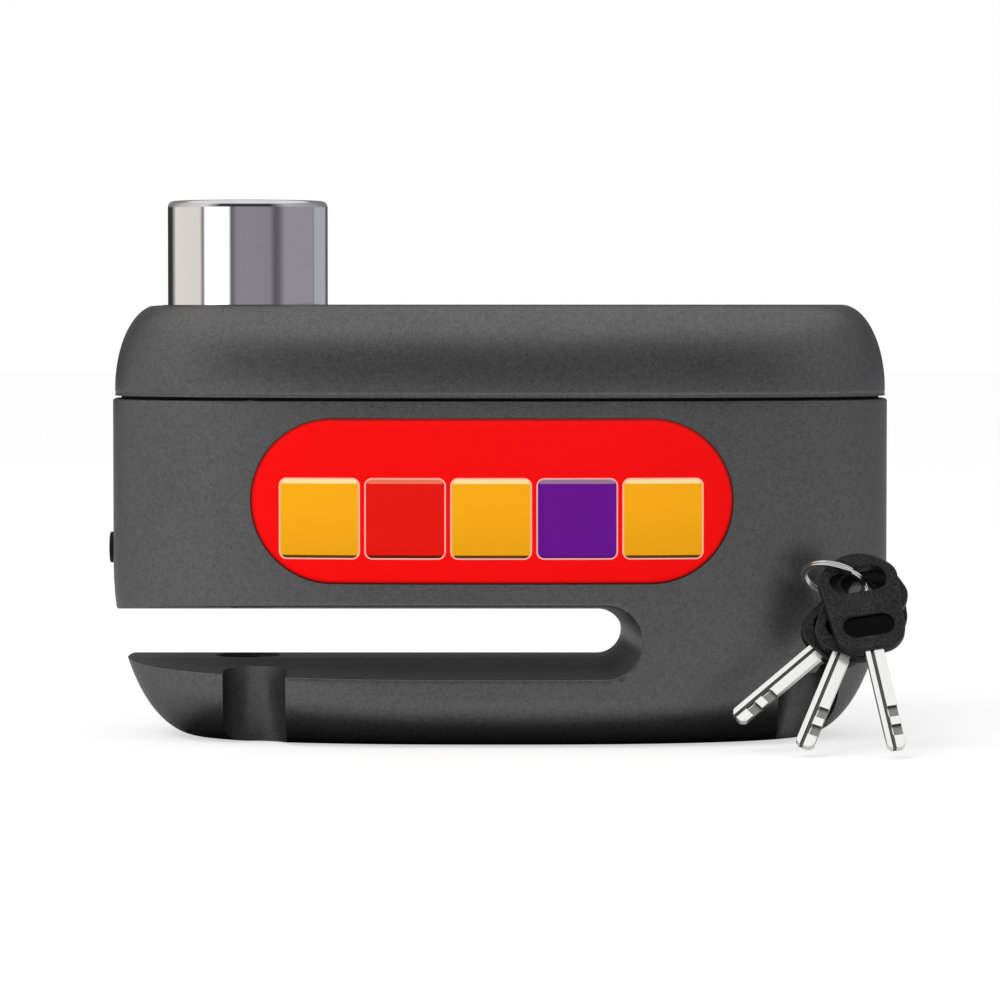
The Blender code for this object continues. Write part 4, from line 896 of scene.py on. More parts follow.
# ---- The finishes of this lock ----
KNOB_X = -0.0300
AXIS = (KNOB_X, 0.0)
COAT = PowderCoat("anthracite_coat", "cast_paint")
RUBBER = Rubber("black_rubber", "rubber")
FILM = LabelFilm("label_film", "red_label")
CHROME = Chrome("knob_chrome", "chrome")
RING_PLATE = Chrome("ring_plate", "chrome", roughness=0.12, lines=3000.0)
STEEL = DrawnSteel("plated_steel", "steel")
PIN_STEEL = TurnedMetal("ground_pin_steel", "steel", AXIS, (0.58, 0.58, 0.59), (0.42, 0.42, 0.43), 0.2)
BRASS = TurnedMetal("turned_brass", "brass", AXIS)
CELL_CAN = DrawnSteel("cell_nickel", "cell_steel", (0.64, 0.63, 0.61), 0.32)
PLASTIC = MouldedPlastic("black_plastic", "black_plastic")
BOARD = SolderMask("green_mask", "board")


# ---- Cast body and cover ----
@dataclass(frozen=True)
class CastOutline:
    """The body's outside: superellipses |x/a|^n + |y/b|^n = 1 whose a and b shrink towards the base."""

    half_length: float = 0.0460
    half_depth: float = 0.0212
    exponent: float = 2.5
    end_run: float = 0.0102
    end_height: float = 0.0204
    edge_round: float = 0.0056

    @staticmethod
    def drawn_in(run: float, height: Array, size: float) -> Array:
        """How far an elliptical round has come in at a height: run (1 - sqrt(1 - s^2)), s falling from 1 to 0."""
        share = np.clip((size - np.asarray(height, float)) / size, 0.0, 1.0)
        return run * (1.0 - np.sqrt(1.0 - share ** 2))

    def half_x(self, height: Array) -> Array:
        """Half length at a height."""
        return self.half_length - self.drawn_in(self.end_run, height, self.end_height)

    def half_y(self, height: Array) -> Array:
        """Half depth at a height."""
        return self.half_depth - self.drawn_in(self.edge_round, height, self.edge_round)

    def angles(self, count: int) -> Array:
        """Angles whose points lie evenly along the widest outline, found by inverting its arc length."""
        fine = np.linspace(0.0, QUARTER, 4001)
        x, y = self.at(fine, self.half_length, self.half_depth)
        length = np.concatenate([[0.0], np.cumsum(np.hypot(np.diff(x), np.diff(y)))])
        quarter = np.interp(np.linspace(0.0, length[-1], count // 4 + 1), length, fine)[:-1]
        mirrored = math.pi - np.concatenate([quarter, [QUARTER]])[::-1][:-1]
        half = np.concatenate([quarter, mirrored])
        return np.concatenate([half, half + math.pi])

    def at(self, angle: Array, a: Array, b: Array) -> tuple[Array, Array]:
        """Point (a c^(2/n), b s^(2/n)) with the signs of cosine and sine."""
        c, s = np.cos(angle), np.sin(angle)
        power = 2.0 / self.exponent
        return a * np.sign(c) * np.abs(c) ** power, b * np.sign(s) * np.abs(s) ** power

    def rings(self, heights: Array, inset: Array, a: Array, b: Array, count: int = 320) -> Array:
        """Rings at some heights with half axes a and b, moved in by inset."""
        x, y = self.at(self.angles(count)[None], (a - inset)[:, None], (b - inset)[:, None])
        return np.stack([x, y, np.broadcast_to(heights[:, None], x.shape)], axis=-1)

    def outside(self, heights: Array, inset: Array) -> Array:
        """Rings of the outside at some heights, moved in by inset."""
        return self.rings(heights, inset, self.half_x(heights), self.half_y(heights))

    def face(self, x: Array, height: Array) -> Array:
        """Distance of the front or back skin from the middle plane: b (1 - |x/a|^n)^(1/n)."""
        share = np.clip(1.0 - (np.abs(x) / self.half_x(height)) ** self.exponent, 0.0, 1.0)
        return self.half_y(height) * share ** (1.0 / self.exponent)

    def normal(self, x: Array, y: Array, height: Array) -> Array:
        """Unit normal of the skin in plan: (x|x|^(n-2)/a^n, y|y|^(n-2)/b^n, 0)."""
        n = self.exponent
        u = np.sign(x) * np.abs(x) ** (n - 1) / self.half_x(height) ** n
        v = np.sign(y) * np.abs(y) ** (n - 1) / self.half_y(height) ** n
        size = np.maximum(np.hypot(u, v), 1e-12)
        return np.stack([u / size, v / size, np.zeros_like(u)], axis=-1)


@dataclass(frozen=True)
class ScrewSpot:
    """Where a cover screw stands, and how its channel and seat lie."""

    name: str
    x: float
    y: float
    seat: float
    channel_top: float


@dataclass
class CastBody(Assembly):
    """The body casting: disc slot, lower jaw, bores, battery pocket, screw channels and sound slits."""

    outline: CastOutline = field(default_factory=CastOutline)
    top: float = 0.0400
    top_edge: float = 0.00026
    slot_z: float = 0.0122
    slot_half: float = 0.0029
    slot_end: float = 0.0145
    slot_land: float = 0.0042
    flare_half: float = 0.00135
    flare_end: float = 0.0020
    slot_rim: float = 0.00016
    pin_bore: float = 0.0038
    jaw_hole_floor: float = 0.0040
    hole_rim: Pair = (0.00042, 0.00022)
    barrel_bore: float = 0.0098
    barrel_floor: float = 0.0195
    groove_x: float = -0.01853
    groove_half: float = 0.0027
    window: Pair = (0.0029, 0.0292)
    cavity: Triple = (-0.01283, 0.0290, 0.0141)
    cavity_floor: float = 0.0195
    cavity_corner: float = 0.0030
    channel_radius: float = 0.0037
    channel_rim: float = 0.0003
    shank_radius: float = 0.0018
    head_radius: float = 0.0030
    slit: Pair = (0.0168, 0.0298)
    slit_size: Pair = (0.0045, 0.0006)
    slit_pitch: float = 0.0028
    plug_z: float = 0.0222
    plug_radius: float = 0.00185
    label_recess: Triple = (0.00006, -0.00052, 0.0010)
    play: float = 0.0003
    lap: float = 0.0010
    beyond: float = 0.0020

    def spots(self) -> list[ScrewSpot]:
        """The four cover screws."""
        rows = (("left", -0.0285, 0.0145, 0.0195, self.slot_z), ("right", 0.0360, 0.0112, 0.0125, 0.0083))
        return [ScrewSpot(f"{face}_{end}", x, side * y, seat, channel_top)
                for end, x, y, seat, channel_top in rows for face, side in (("front", -1.0), ("back", 1.0))]

    def shanks(self, low: float, high: float) -> list[Shell]:
        """Holes for the screws between two heights."""
        return [post((spot.x, spot.y), self.shank_radius, low, high, 28) for spot in self.spots()]

    def pocket(self, low: float, high: float) -> Shell:
        """Pocket for battery and siren between two heights."""
        x0, x1, y1 = self.cavity
        return prism(round_rect((x0, -y1), (x1, y1), self.cavity_corner), low, high)

    def groove(self, low: float, high: float, end: float) -> Shell:
        """Groove for the latch from the knob's axis to an end, between two heights."""
        return block((KNOB_X, -self.groove_half, low), (end, self.groove_half, high))

    def skin(self) -> Shell:
        """Outside of the casting: rings close together in the rounds, with a small edge at the top."""
        shape, edge = self.outline, self.top_edge
        quarter = 1.0 - np.cos(np.linspace(0.0, QUARTER, 19))
        ends = shape.end_height * quarter
        heights = np.concatenate([shape.edge_round * quarter, ends[ends > shape.edge_round * 1.03],
                                  np.linspace(shape.end_height, self.top - edge, 12)[1:],
                                  [self.top - edge * 0.35, self.top]])
        inset = np.zeros(len(heights))
        inset[-2:] = edge * 0.3, edge
        return loft(shape.outside(heights, inset))

    def slot_at(self, across: Array) -> tuple[Array, Array]:
        """Half height and end of the slot at a distance across the body; both grow outside the land."""
        share = np.maximum(0.0, np.abs(across) - self.slot_land) / (self.outline.half_depth - self.slot_land)
        return self.slot_half + self.flare_half * share, self.slot_end + self.flare_end * share

    def slot(self) -> Shell:
        """The disc slot: an outline open to the left with a round right end, at distances across the body."""
        reach = self.outline.half_depth + self.beyond
        far = -self.outline.half_length - self.beyond
        rings = []
        for across in (reach, self.slot_land, -self.slot_land, -reach):
            half, end = (float(value) for value in self.slot_at(np.array(across)))
            nose = arc((end - half, self.slot_z), half, -90.0, 90.0, 40)
            rings.append((np.vstack([[far, self.slot_z - half], nose, [far, self.slot_z + half]]), across))
        return stacked(rings, axis=1)

    def rim_path(self) -> tuple[Array, Array, Array]:
        """The closed line where the slot meets the skin.

        It runs along the upper lip from front to back round the left end, down the back of the round end,
        and back along the lower lip.  Height and place depend on each other, so both are found by turns.

        Returns:
            Points, directions from the slot into the metal, and outward directions of the skin.
        """
        shape, tries = self.outline, 6
        half, end = self.slot_at(np.array(shape.half_depth))
        start = float(np.arccos(np.clip((end - half) / shape.half_length, 0, 1) ** (shape.exponent / 2)))
        sweep = np.linspace(math.tau - start, start, 300)
        parts = []
        for lip in (1.0, -1.0):
            angle = sweep if lip > 0 else sweep[::-1]
            z = np.full(len(angle), self.slot_z)
            for _ in range(tries):
                x, y = shape.at(angle, shape.half_x(z), shape.half_y(z))
                z = self.slot_z + lip * self.slot_at(y)[0]
            parts.append((x, y, z, np.zeros_like(x), np.full_like(x, lip)))
            turn = np.radians(np.linspace(90.0, -90.0, 42)[1:-1] * lip)
            cosine, sine = np.cos(turn), np.sin(turn)
            y = np.full(len(turn), lip * shape.half_depth)
            for _ in range(tries):
                half, end = self.slot_at(y)
                x, z = end - half + half * cosine, self.slot_z + half * sine
                y = lip * shape.face(x, z)
            parts.append((x, y, z, cosine, sine))
        x, y, z, cosine, sine = (np.concatenate(column) for column in zip(*parts))
        metal = np.stack([cosine, np.zeros_like(x), sine], axis=-1)
        return np.stack([x, y, z], axis=-1), metal, shape.normal(x, y, z)

    def rim(self) -> Shell:
        """Fillet round the slot's mouth: a tool whose inner side is an arc that rolls from skin to slot wall."""
        c = self.slot_rim
        turn = np.radians([14.0, 38.0, 62.0, 76.0])
        roll = np.column_stack([c * (1 - np.sin(turn)), -c * (1 - np.cos(turn))])
        section = np.vstack([[-0.95 * c, 0.95 * c], [1.25 * c, 0.10 * c], roll, [-0.10 * c, -1.25 * c]])
        return swept(*self.rim_path(), section, Ends.LOOPED)

    def channel(self, spot: ScrewSpot) -> Shell:
        """A round-backed channel through the face; the left ones flare where their sides meet the skin."""
        x, y, r, rim = spot.x, abs(spot.y), self.channel_radius, self.channel_rim
        if x > 0.0:
            out = self.outline.half_depth
            flat = np.vstack([arc((x, 0.0), r, 0.0, 180.0, 40), [(x - r, -out), (x + r, -out)]])
        else:
            left, right = (float(self.outline.face(np.array(x + sign * r), self.top)) for sign in (-1.0, 1.0))
            out, near, far = self.outline.half_depth + self.beyond, y - right + rim, y - left + rim
            wide, grow = r + rim * 1.4, rim * 1.4
            mouth = [(x - r, far), (x - wide, far - grow), (x - wide, y - out), (x + wide, y - out),
                     (x + wide, near - grow), (x + r, near)]
            flat = np.vstack([arc((x, 0.0), r, 0.0, 180.0, 28), mouth])
        flat[:, 1] = math.copysign(1.0, spot.y) * (y - flat[:, 1])
        return prism(flat, -self.beyond, spot.channel_top)

    def bores(self, above: float) -> list[Shell]:
        """Hole for the pin with the knob's bore over it, and the countersink of the hole in the jaw."""
        pin, barrel = self.pin_bore, self.barrel_bore
        lip, (wide, deep) = self.slot_z - self.slot_half, self.hole_rim
        low, mid, top = self.jaw_hole_floor, self.barrel_floor, lip + 0.0002
        return [turned([(0.0, low), (pin, low), (pin, mid), (barrel, mid), (barrel, above), (0.0, above)], AXIS, 96),
                turned([(0.0, lip - deep), (pin, lip - deep), (pin + wide, top), (0.0, top)], AXIS, 96)]

    def back_slits(self) -> Shell:
        """Five upright sound slits through the back."""
        slit = prism(stadium(*self.slit_size, steps=8)[:, ::-1], self.cavity[2] - self.beyond / 2, 0.024)
        to_back = turn_matrix(0, -QUARTER)
        return merged(slit.moved(shift_matrix((self.slit[0] + i * self.slit_pitch, 0.0, self.slit[1])) @ to_back)
                      for i in range(-2, 3))

    def plug_hole(self) -> Shell:
        """Hole for the plug in the left end."""
        start = shift_matrix((-self.outline.half_length - 0.0018, 0.0, self.plug_z))
        hole = post((0.0, 0.0), self.plug_radius + self.play, 0.0, 0.006, 48)
        return hole.moved(start @ turn_matrix(1, QUARTER))

    def build(self) -> None:
        """Make the casting and take out all that is machined or cored in it."""
        spots = self.spots()
        above = self.top + self.beyond
        half, floor = self.window
        window = block((self.groove_x - self.lap, -half, floor), (self.cavity[0] + self.lap, half, above))
        heads = merged(post((spot.x, spot.y), self.head_radius, spot.channel_top - self.beyond, spot.seat, 40)
                       for spot in spots)
        shanks = merged(post((spot.x, spot.y), self.shank_radius, spot.seat - self.beyond, above, 28)
                        for spot in spots)
        cuts = [self.slot(), self.rim(), *self.bores(above), self.pocket(self.cavity_floor, above), window,
                self.groove(self.barrel_floor + self.play, above, self.groove_x),
                merged(self.channel(spot) for spot in spots), heads, shanks, self.back_slits(), self.plug_hole(),
                LabelPlate(self.frame).shell(*self.label_recess)]
        self.make("cast_body", self.skin(), COAT, "main_body", 38.0, cuts=cuts)


@dataclass
class LabelPlate(Assembly):
    """The printed film, let into the front face and following its curve."""

    outline: CastOutline = field(default_factory=CastOutline)
    x: Pair = (-0.0288, 0.0269)
    z: Pair = (0.0190, 0.0380)
    proud: float = 0.0001
    depth: float = 0.0004
    edge: float = 0.00016

    def rings(self, grow: float, offsets: Array, insets: Array, steps: int = 56) -> Array:
        """Rings of the stadium on the skin: ring i is moved in by insets[i] and lies offsets[i] proud.

        A ring's points are spine point + (half height - inset) direction, and y is the skin's at each.
        """
        half_x, half_z = ((high - low) / 2 + grow for low, high in (self.x, self.z))
        reach = half_x - half_z
        ends = arc((0.0, 0.0), 1.0, -90.0, 90.0, steps)
        run = np.linspace(reach, -reach, 90)[1:-1]
        direction = np.vstack([ends, np.tile([0.0, 1.0], (len(run), 1)), -ends, np.tile([0.0, -1.0], (len(run), 1))])
        spine = np.concatenate([np.full(len(ends), reach), run, np.full(len(ends), -reach), -run])
        size = half_z - np.asarray(insets, float)[:, None]
        x = sum(self.x) / 2 + spine[None] + size * direction[None, :, 0]
        z = sum(self.z) / 2 + size * direction[None, :, 1]
        y = -self.outline.face(x, z) - np.asarray(offsets, float)[:, None]
        return np.stack([x, y, z], axis=-1)

    def shell(self, grow: float, back: float, front: float) -> Shell:
        """A slab of the skin inside the outline, from back to front of it."""
        size = (self.z[1] - self.z[0]) / 2 + grow
        inward = size * np.array([1.0, 0.75, 0.5, 0.25, 0.0])
        return loft(self.rings(grow, np.repeat([back, front], 5), np.concatenate([inward, inward[::-1]])), Ends.OPEN)

    def build(self) -> None:
        """Back, edge that rolls over, and a face that lies a little proud of the casting."""
        size = (self.z[1] - self.z[0]) / 2
        turn = np.linspace(0.0, QUARTER, 5)[::-1]
        inner = size * np.array([0.08, 0.3, 0.65, 1.0])
        insets = np.concatenate([size * np.array([1.0, 0.5]), [0.0], self.edge * (1 - np.sin(turn)), inner])
        offsets = np.concatenate([np.full(3, -self.depth), self.proud - self.edge * (1 - np.cos(turn)),
                                  np.full(len(inner), self.proud)])
        self.make("label_film", loft(self.rings(0.0, offsets, insets), Ends.OPEN), FILM, "label_plate", 50.0)


@dataclass
class Cover(Assembly):
    """The cast cover: an elliptical shoulder over a short side, a skirt past the gasket, and a bead along the joint."""

    outline: CastOutline = field(default_factory=lambda: CastOutline(half_length=0.04575, half_depth=0.02097))
    low: float = 0.0405
    top: float = 0.0511
    skirt_drop: float = 0.00016
    skirt_width: float = 0.00065
    bead: tuple[Pair, ...] = (
        (-0.00016, 0.00006), (-0.00010, 0.0), (0.00010, 0.0), (0.00016, 0.00006), (0.00026, 0.00006), (0.00036, 0.0))
    side_height: float = 0.0006
    round_in: float = 0.0052
    bore: float = 0.0098
    seal_width: float = 0.0014
    seal_seat: float = 0.0496
    pocket_top: float = 0.0475
    groove_top: float = 0.0488
    thread_top: float = 0.0468
    mouth_rim: float = 0.0003
    beyond: float = 0.0020

    def build(self) -> None:
        """Rings down the skirt's inner side, up the bead and over the shoulder: height as sine, inset as 1 - cosine."""
        side, below, above = self.low + self.side_height, self.low - self.beyond, self.top + self.beyond
        turn = np.linspace(0.0, QUARTER, 25)
        bead = np.array(self.bead)
        heights = np.concatenate([[self.low, self.low - self.skirt_drop], self.low + bead[:, 0],
                                  side + (self.top - side) * np.sin(turn)])
        inset = np.concatenate([[self.skirt_width] * 2, bead[:, 1], self.round_in * (1 - np.cos(turn))])
        cover = loft(self.outline.rings(heights, inset, np.array(self.outline.half_length),
                                        np.array(self.outline.half_depth)))
        rim = self.mouth_rim
        seat = self.bore + self.seal_width + rim
        bore = turned([(0.0, below), (self.bore, below), (self.bore, self.seal_seat), (seat, self.seal_seat),
                       (seat, self.top - rim, 0.0002), (seat + rim * 2, self.top + rim), (seat + rim * 2, above),
                       (0.0, above)], AXIS)
        body = CastBody(self.frame)
        cuts = [bore, body.pocket(below, self.pocket_top), body.groove(below, self.groove_top, body.groove_x),
                merged(body.shanks(below, self.thread_top))]
        self.make("cast_cover", cover, COAT, "top_cover", 38.0, cuts=cuts)


@dataclass
class Trim(Assembly):
    """Rubber parts and the cover screws."""

    gasket: Pair = (0.04005, 0.04045)
    gasket_inset: float = 0.0010
    seal: Pair = (0.0098, 0.0112)
    seal_low: float = 0.0499
    seal_height: float = 0.0012
    plug_out: float = 0.0005
    plug_length: float = 0.0034
    plug_slot: float = 0.00022
    screw_tip: float = 0.0465
    screw_shank: float = 0.0015
    screw_head: Pair = (0.0027, 0.0020)
    screw_socket: Pair = (0.0012, 0.0011)
    beyond: float = 0.0010

    @cached_property
    def casting(self) -> CastBody:
        """The casting, whose openings the trim follows."""
        return CastBody(self.frame)

    def build_gasket(self) -> None:
        """A band round the joint, with bulged edges, and the same openings as the casting."""
        low, high = self.gasket
        mid = (low + high) / 2
        heights = np.array([low, mid - 0.0001, mid, mid + 0.0001, high])
        inset = self.gasket_inset + np.array([0.00008, 0.00001, 0.0, 0.00001, 0.00008])
        body, below, above = self.casting, low - self.beyond, high + self.beyond
        cuts = [post(AXIS, body.barrel_bore, below, above, 96), body.pocket(below, above),
                body.groove(below, above, body.cavity[0] + body.lap), *body.shanks(below, above)]
        self.make("joint_gasket", loft(body.outline.outside(heights, inset)), RUBBER, "cover_gasket", 50.0, cuts=cuts)

    def build_seal(self) -> None:
        """Wiper ring in the cover's mouth: a groove between an inner and an outer lip."""
        (inner, outer), low, top = self.seal, self.seal_low, self.seal_low + self.seal_height
        profile = [(inner, low), (inner, top - 0.0002, 0.00008), (inner + 0.00025, top, 0.00012),
                   (inner + 0.0006, top - 0.00028, 0.00016), (outer - 0.0004, top - 0.00005, 0.0002),
                   (outer, top - 0.0003, 0.00015), (outer, low)]
        self.make("wiper_seal", turned(profile, AXIS, 144, 5, closed=True), RUBBER, "knob_seal", 45.0)

    def build_plug(self) -> None:
        """Plug with a domed, slotted head in the left end."""
        outer, r, half = self.plug_out + self.plug_length, self.casting.plug_radius, self.plug_slot
        profile = [(0.0, 0.0), (r - 0.0002, 0.0, 0.0002), (r, 0.0004, 0.0002), (r, outer - 0.00004, 0.00016),
                   (r * 0.80, outer, 0.0002), (0.0, outer)]
        inner = float(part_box("side_plug")[1][0])
        lay = shift_matrix((inner, 0.0, self.casting.plug_z)) @ turn_matrix(1, -QUARTER)
        slot = block((-r * 0.75, -half, outer - 0.0003), (r * 0.75, half, outer + self.beyond))
        self.make("pull_plug", turned(profile, segments=64).moved(lay), RUBBER, "side_plug", 40.0,
                  cuts=[slot.moved(lay)])

    def build_screws(self) -> None:
        """Cap screws: shank, head with a rolled edge, and a hexagon socket with a coned floor."""
        (wide, height), shank, tip = self.screw_head, self.screw_shank, self.screw_tip
        for spot in self.casting.spots():
            name, axis, head_top = "cover_screw_" + spot.name, (spot.x, spot.y), spot.seat - 0.0003
            low = head_top - height
            screw = turned([(0.0, tip), (0.0009, tip), (shank, tip - 0.00075), (shank, head_top, 0.0001),
                            (wide, head_top, 0.0001), (wide, low, 0.0004), (0.0, low)], axis, 48, 4)
            mouth = turned([(0.0, low - 0.0005), (0.00175, low - 0.0005), (0.0010, low + 0.00025),
                            (0.0, low + 0.00025)], axis, 36)
            hexagon = post(axis, self.screw_socket[0], low - self.beyond, low + self.screw_socket[1], 6)
            self.make(name + "_cap", screw, STEEL, name, 35.0, cuts=[hexagon, mouth])

    def build(self) -> None:
        """Make all the trim."""
        self.build_gasket()
        self.build_seal()
        self.build_plug()
        self.build_screws()


# ---- Plunger ----
@dataclass
class Plunger(Assembly):
    """The chromed knob, its key cylinder and the locking pin."""

    radius: float = 0.0095
    top: float = 0.0634
    low: float = 0.0321
    edge: float = 0.0007
    core_radius: float = 0.0059
    core_top: float = 0.0630
    core_low: float = 0.0505
    core_floor: float = 0.0488
    core_wall: float = 0.0012
    snap_top: float = 0.06250
    shoulder: float = 0.0616
    nose: float = 0.0050
    spring_seat: float = 0.0400
    spring_recess: float = 0.0074
    pin_radius: float = 0.0035
    pin_head: float = 0.0447
    pin_tip: float = 0.0168
    pin_cone: float = 0.0006
    keyway: Pair = (0.0026, 0.0013)
    keyway_depth: float = 0.0017
    cross_z: float = 0.0424
    cross_radius: float = 0.0013
    rib_top: float = 0.0455
    rib_half: float = 0.0024
    rib_reach: Pair = (-0.0012, 0.0010)
    rib_slope: float = 0.05
    cam_slot: tuple[float, ...] = (-0.0065, 0.0025, 0.0459, 0.04935)
    play: float = 0.0003
    spring_wire: float = 0.00045
    spring_radius: float = 0.0058
    spring_coils: float = 5.0
    dead_turns: float = 1.0
    travel: float = 0.0120

    def cross_hole(self, reach: float) -> Shell:
        """Cutter for the cross pin's hole, along Y."""
        hole = post((0.0, 0.0), self.cross_radius, -reach, reach, 40)
        return hole.moved(shift_matrix((KNOB_X, 0.0, self.cross_z)) @ turn_matrix(0, QUARTER))

    def rib(self) -> Shell:
        """Rib that pushes the switch in, standing a little further out at its top."""
        low, high, half = self.low + self.play, self.rib_top, self.rib_half
        inner, outer = (KNOB_X + self.radius + reach for reach in self.rib_reach)
        return stacked((np.array([(inner, -half), (outer + grow, -half), (outer + grow, half), (inner, half)]), z)
                       for z, grow in ((low, 0.0), (high, self.rib_slope * (high - low))))

    def build_knob(self) -> None:
        """Barrel: the profile runs up the core's bore, over the rolled top edge and down the outside."""
        bore, snap, pin = self.core_radius + self.play, self.core_radius + 0.0012, self.pin_radius + self.play
        seat, r, head = self.spring_seat, self.radius, self.pin_head + self.play
        knob = turned([
            (0.0, self.core_floor), (bore, self.core_floor), (bore, self.shoulder), (snap, self.shoulder),
            (snap, self.snap_top), (bore, self.snap_top), (bore, self.top - 0.0003, 0.00015),
            (bore + 0.0003, self.top, 0.00015), (r, self.top, self.edge * 1.25), (r, self.low, self.edge),
            (self.spring_recess, self.low, 0.0002), (self.spring_recess, seat), (pin, seat), (pin, head),
            (0.0, head)], AXIS, 224, 10)
        start, half, low, high = self.cam_slot
        slot = block((KNOB_X + start, -half, low), (KNOB_X + r + 0.002, half, high))
        self.make("push_knob", knob, CHROME, "knob_barrel", 35.0, "plunger", [self.rib()],
                  [slot, self.cross_hole(r + 0.002)])

    def build_core(self) -> None:
        """Core: nose, shoulder and sleeve, with a keyway whose mouth is eased."""
        top, low, nose, r = self.core_top, self.core_low, self.nose, self.core_radius
        inner, floor, step = r - self.core_wall, top - self.keyway_depth, self.shoulder - self.play
        core = turned([
            (0.0, top), (nose * 0.62, top), (nose * 0.66, top - 0.00012, 0.00008), (nose * 0.70, top, 0.00008),
            (nose, top, 0.0003), (nose, step), (r, step, 0.0001), (r, low, 0.0001), (inner, low), (inner, floor),
            (0.0, floor)], AXIS, 144, 5)
        x, y = (size / 2 for size in self.keyway)
        way = prism(round_rect((KNOB_X - x, -y), (KNOB_X + x, y), 0.00025, 4), floor - 0.001, top + 0.001)
        ease = stacked((round_rect((KNOB_X - x - g, -y - g), (KNOB_X + x + g, y + g), 0.0003 + g, 4), z)
                       for g, z in ((-0.0001, top - 0.0004), (0.0005, top + 0.0002)))
        self.make("key_core", core, BRASS, "lock_core", 35.0, "cylinder", cuts=[ease, way])

    def build_pin(self) -> None:
        """Locking pin with a coned tip and a rolled head."""
        r, tip, head, cone = self.pin_radius, self.pin_tip, self.pin_head, self.pin_cone
        pin = turned([(0.0, tip), (r - cone, tip, 0.0002), (r, tip + cone, 0.0003), (r, head, 0.0003), (0.0, head)],
                     AXIS, 96, 5)
        self.make("cross_bolt_pin", pin, PIN_STEEL, "locking_pin", 35.0, "plunger",
                  cuts=[self.cross_hole(r + 0.001)])

    def build_spring(self) -> None:
        """Return spring with closed ends: wire carried along a helix whose pitch opens between its end turns.

        The climb at share t is the integral of a smooth bump over the dead turns at either end.
        """
        low, high = (float(corner[2]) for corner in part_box("return_spring"))
        r, dead = self.spring_wire, self.dead_turns
        count = self.spring_coils + 2 * dead
        turns = np.linspace(0.0, count, int(44 * count) + 1)
        rate = eased(np.clip(np.minimum(turns, turns[-1] - turns) - dead * 0.6, 0.0, 0.8) / 0.8)
        climb = np.concatenate([[0.0], np.cumsum((rate[1:] + rate[:-1]) / 2 * np.diff(turns))])
        closed = 2.02 * r * turns
        height = low + r + closed + climb / climb[-1] * (high - low - 2 * r - closed[-1])
        radial = spun(math.tau * turns)
        path = radial * self.spring_radius + np.insert(np.tile(AXIS, (len(turns), 1)), 2, height, axis=1)
        up = np.cross(radial, np.gradient(path, axis=0))
        up /= np.linalg.norm(up, axis=1, keepdims=True)
        spring = self.make("coil_spring", swept(path, radial, up, circle((0.0, 0.0), r, 12)), STEEL,
                           "return_spring", 60.0)
        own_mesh(spring)

    def build(self) -> None:
        """Make the pieces that show, and dress those inside."""
        self.build_knob()
        self.build_core()
        self.build_pin()
        self.build_spring()
        self.dress(STEEL, "cross_pin", "snap_ring", "latch_dog", "drive_cam", "switch_button")
        self.dress(BRASS, *(f"code_disc_{i}" for i in range(1, 5)))


# ---- Keys ----
class Lay(Enum):
    """The three keys: name, layer on the ring, turn in degrees and where the ring passes along the eye."""

    RIGHT = ("right", 1, 9.5, 0.0009)
    MIDDLE = ("middle", 0, -21.8, -0.0005)
    LEFT = ("left", -1, -47.0, -0.0015)


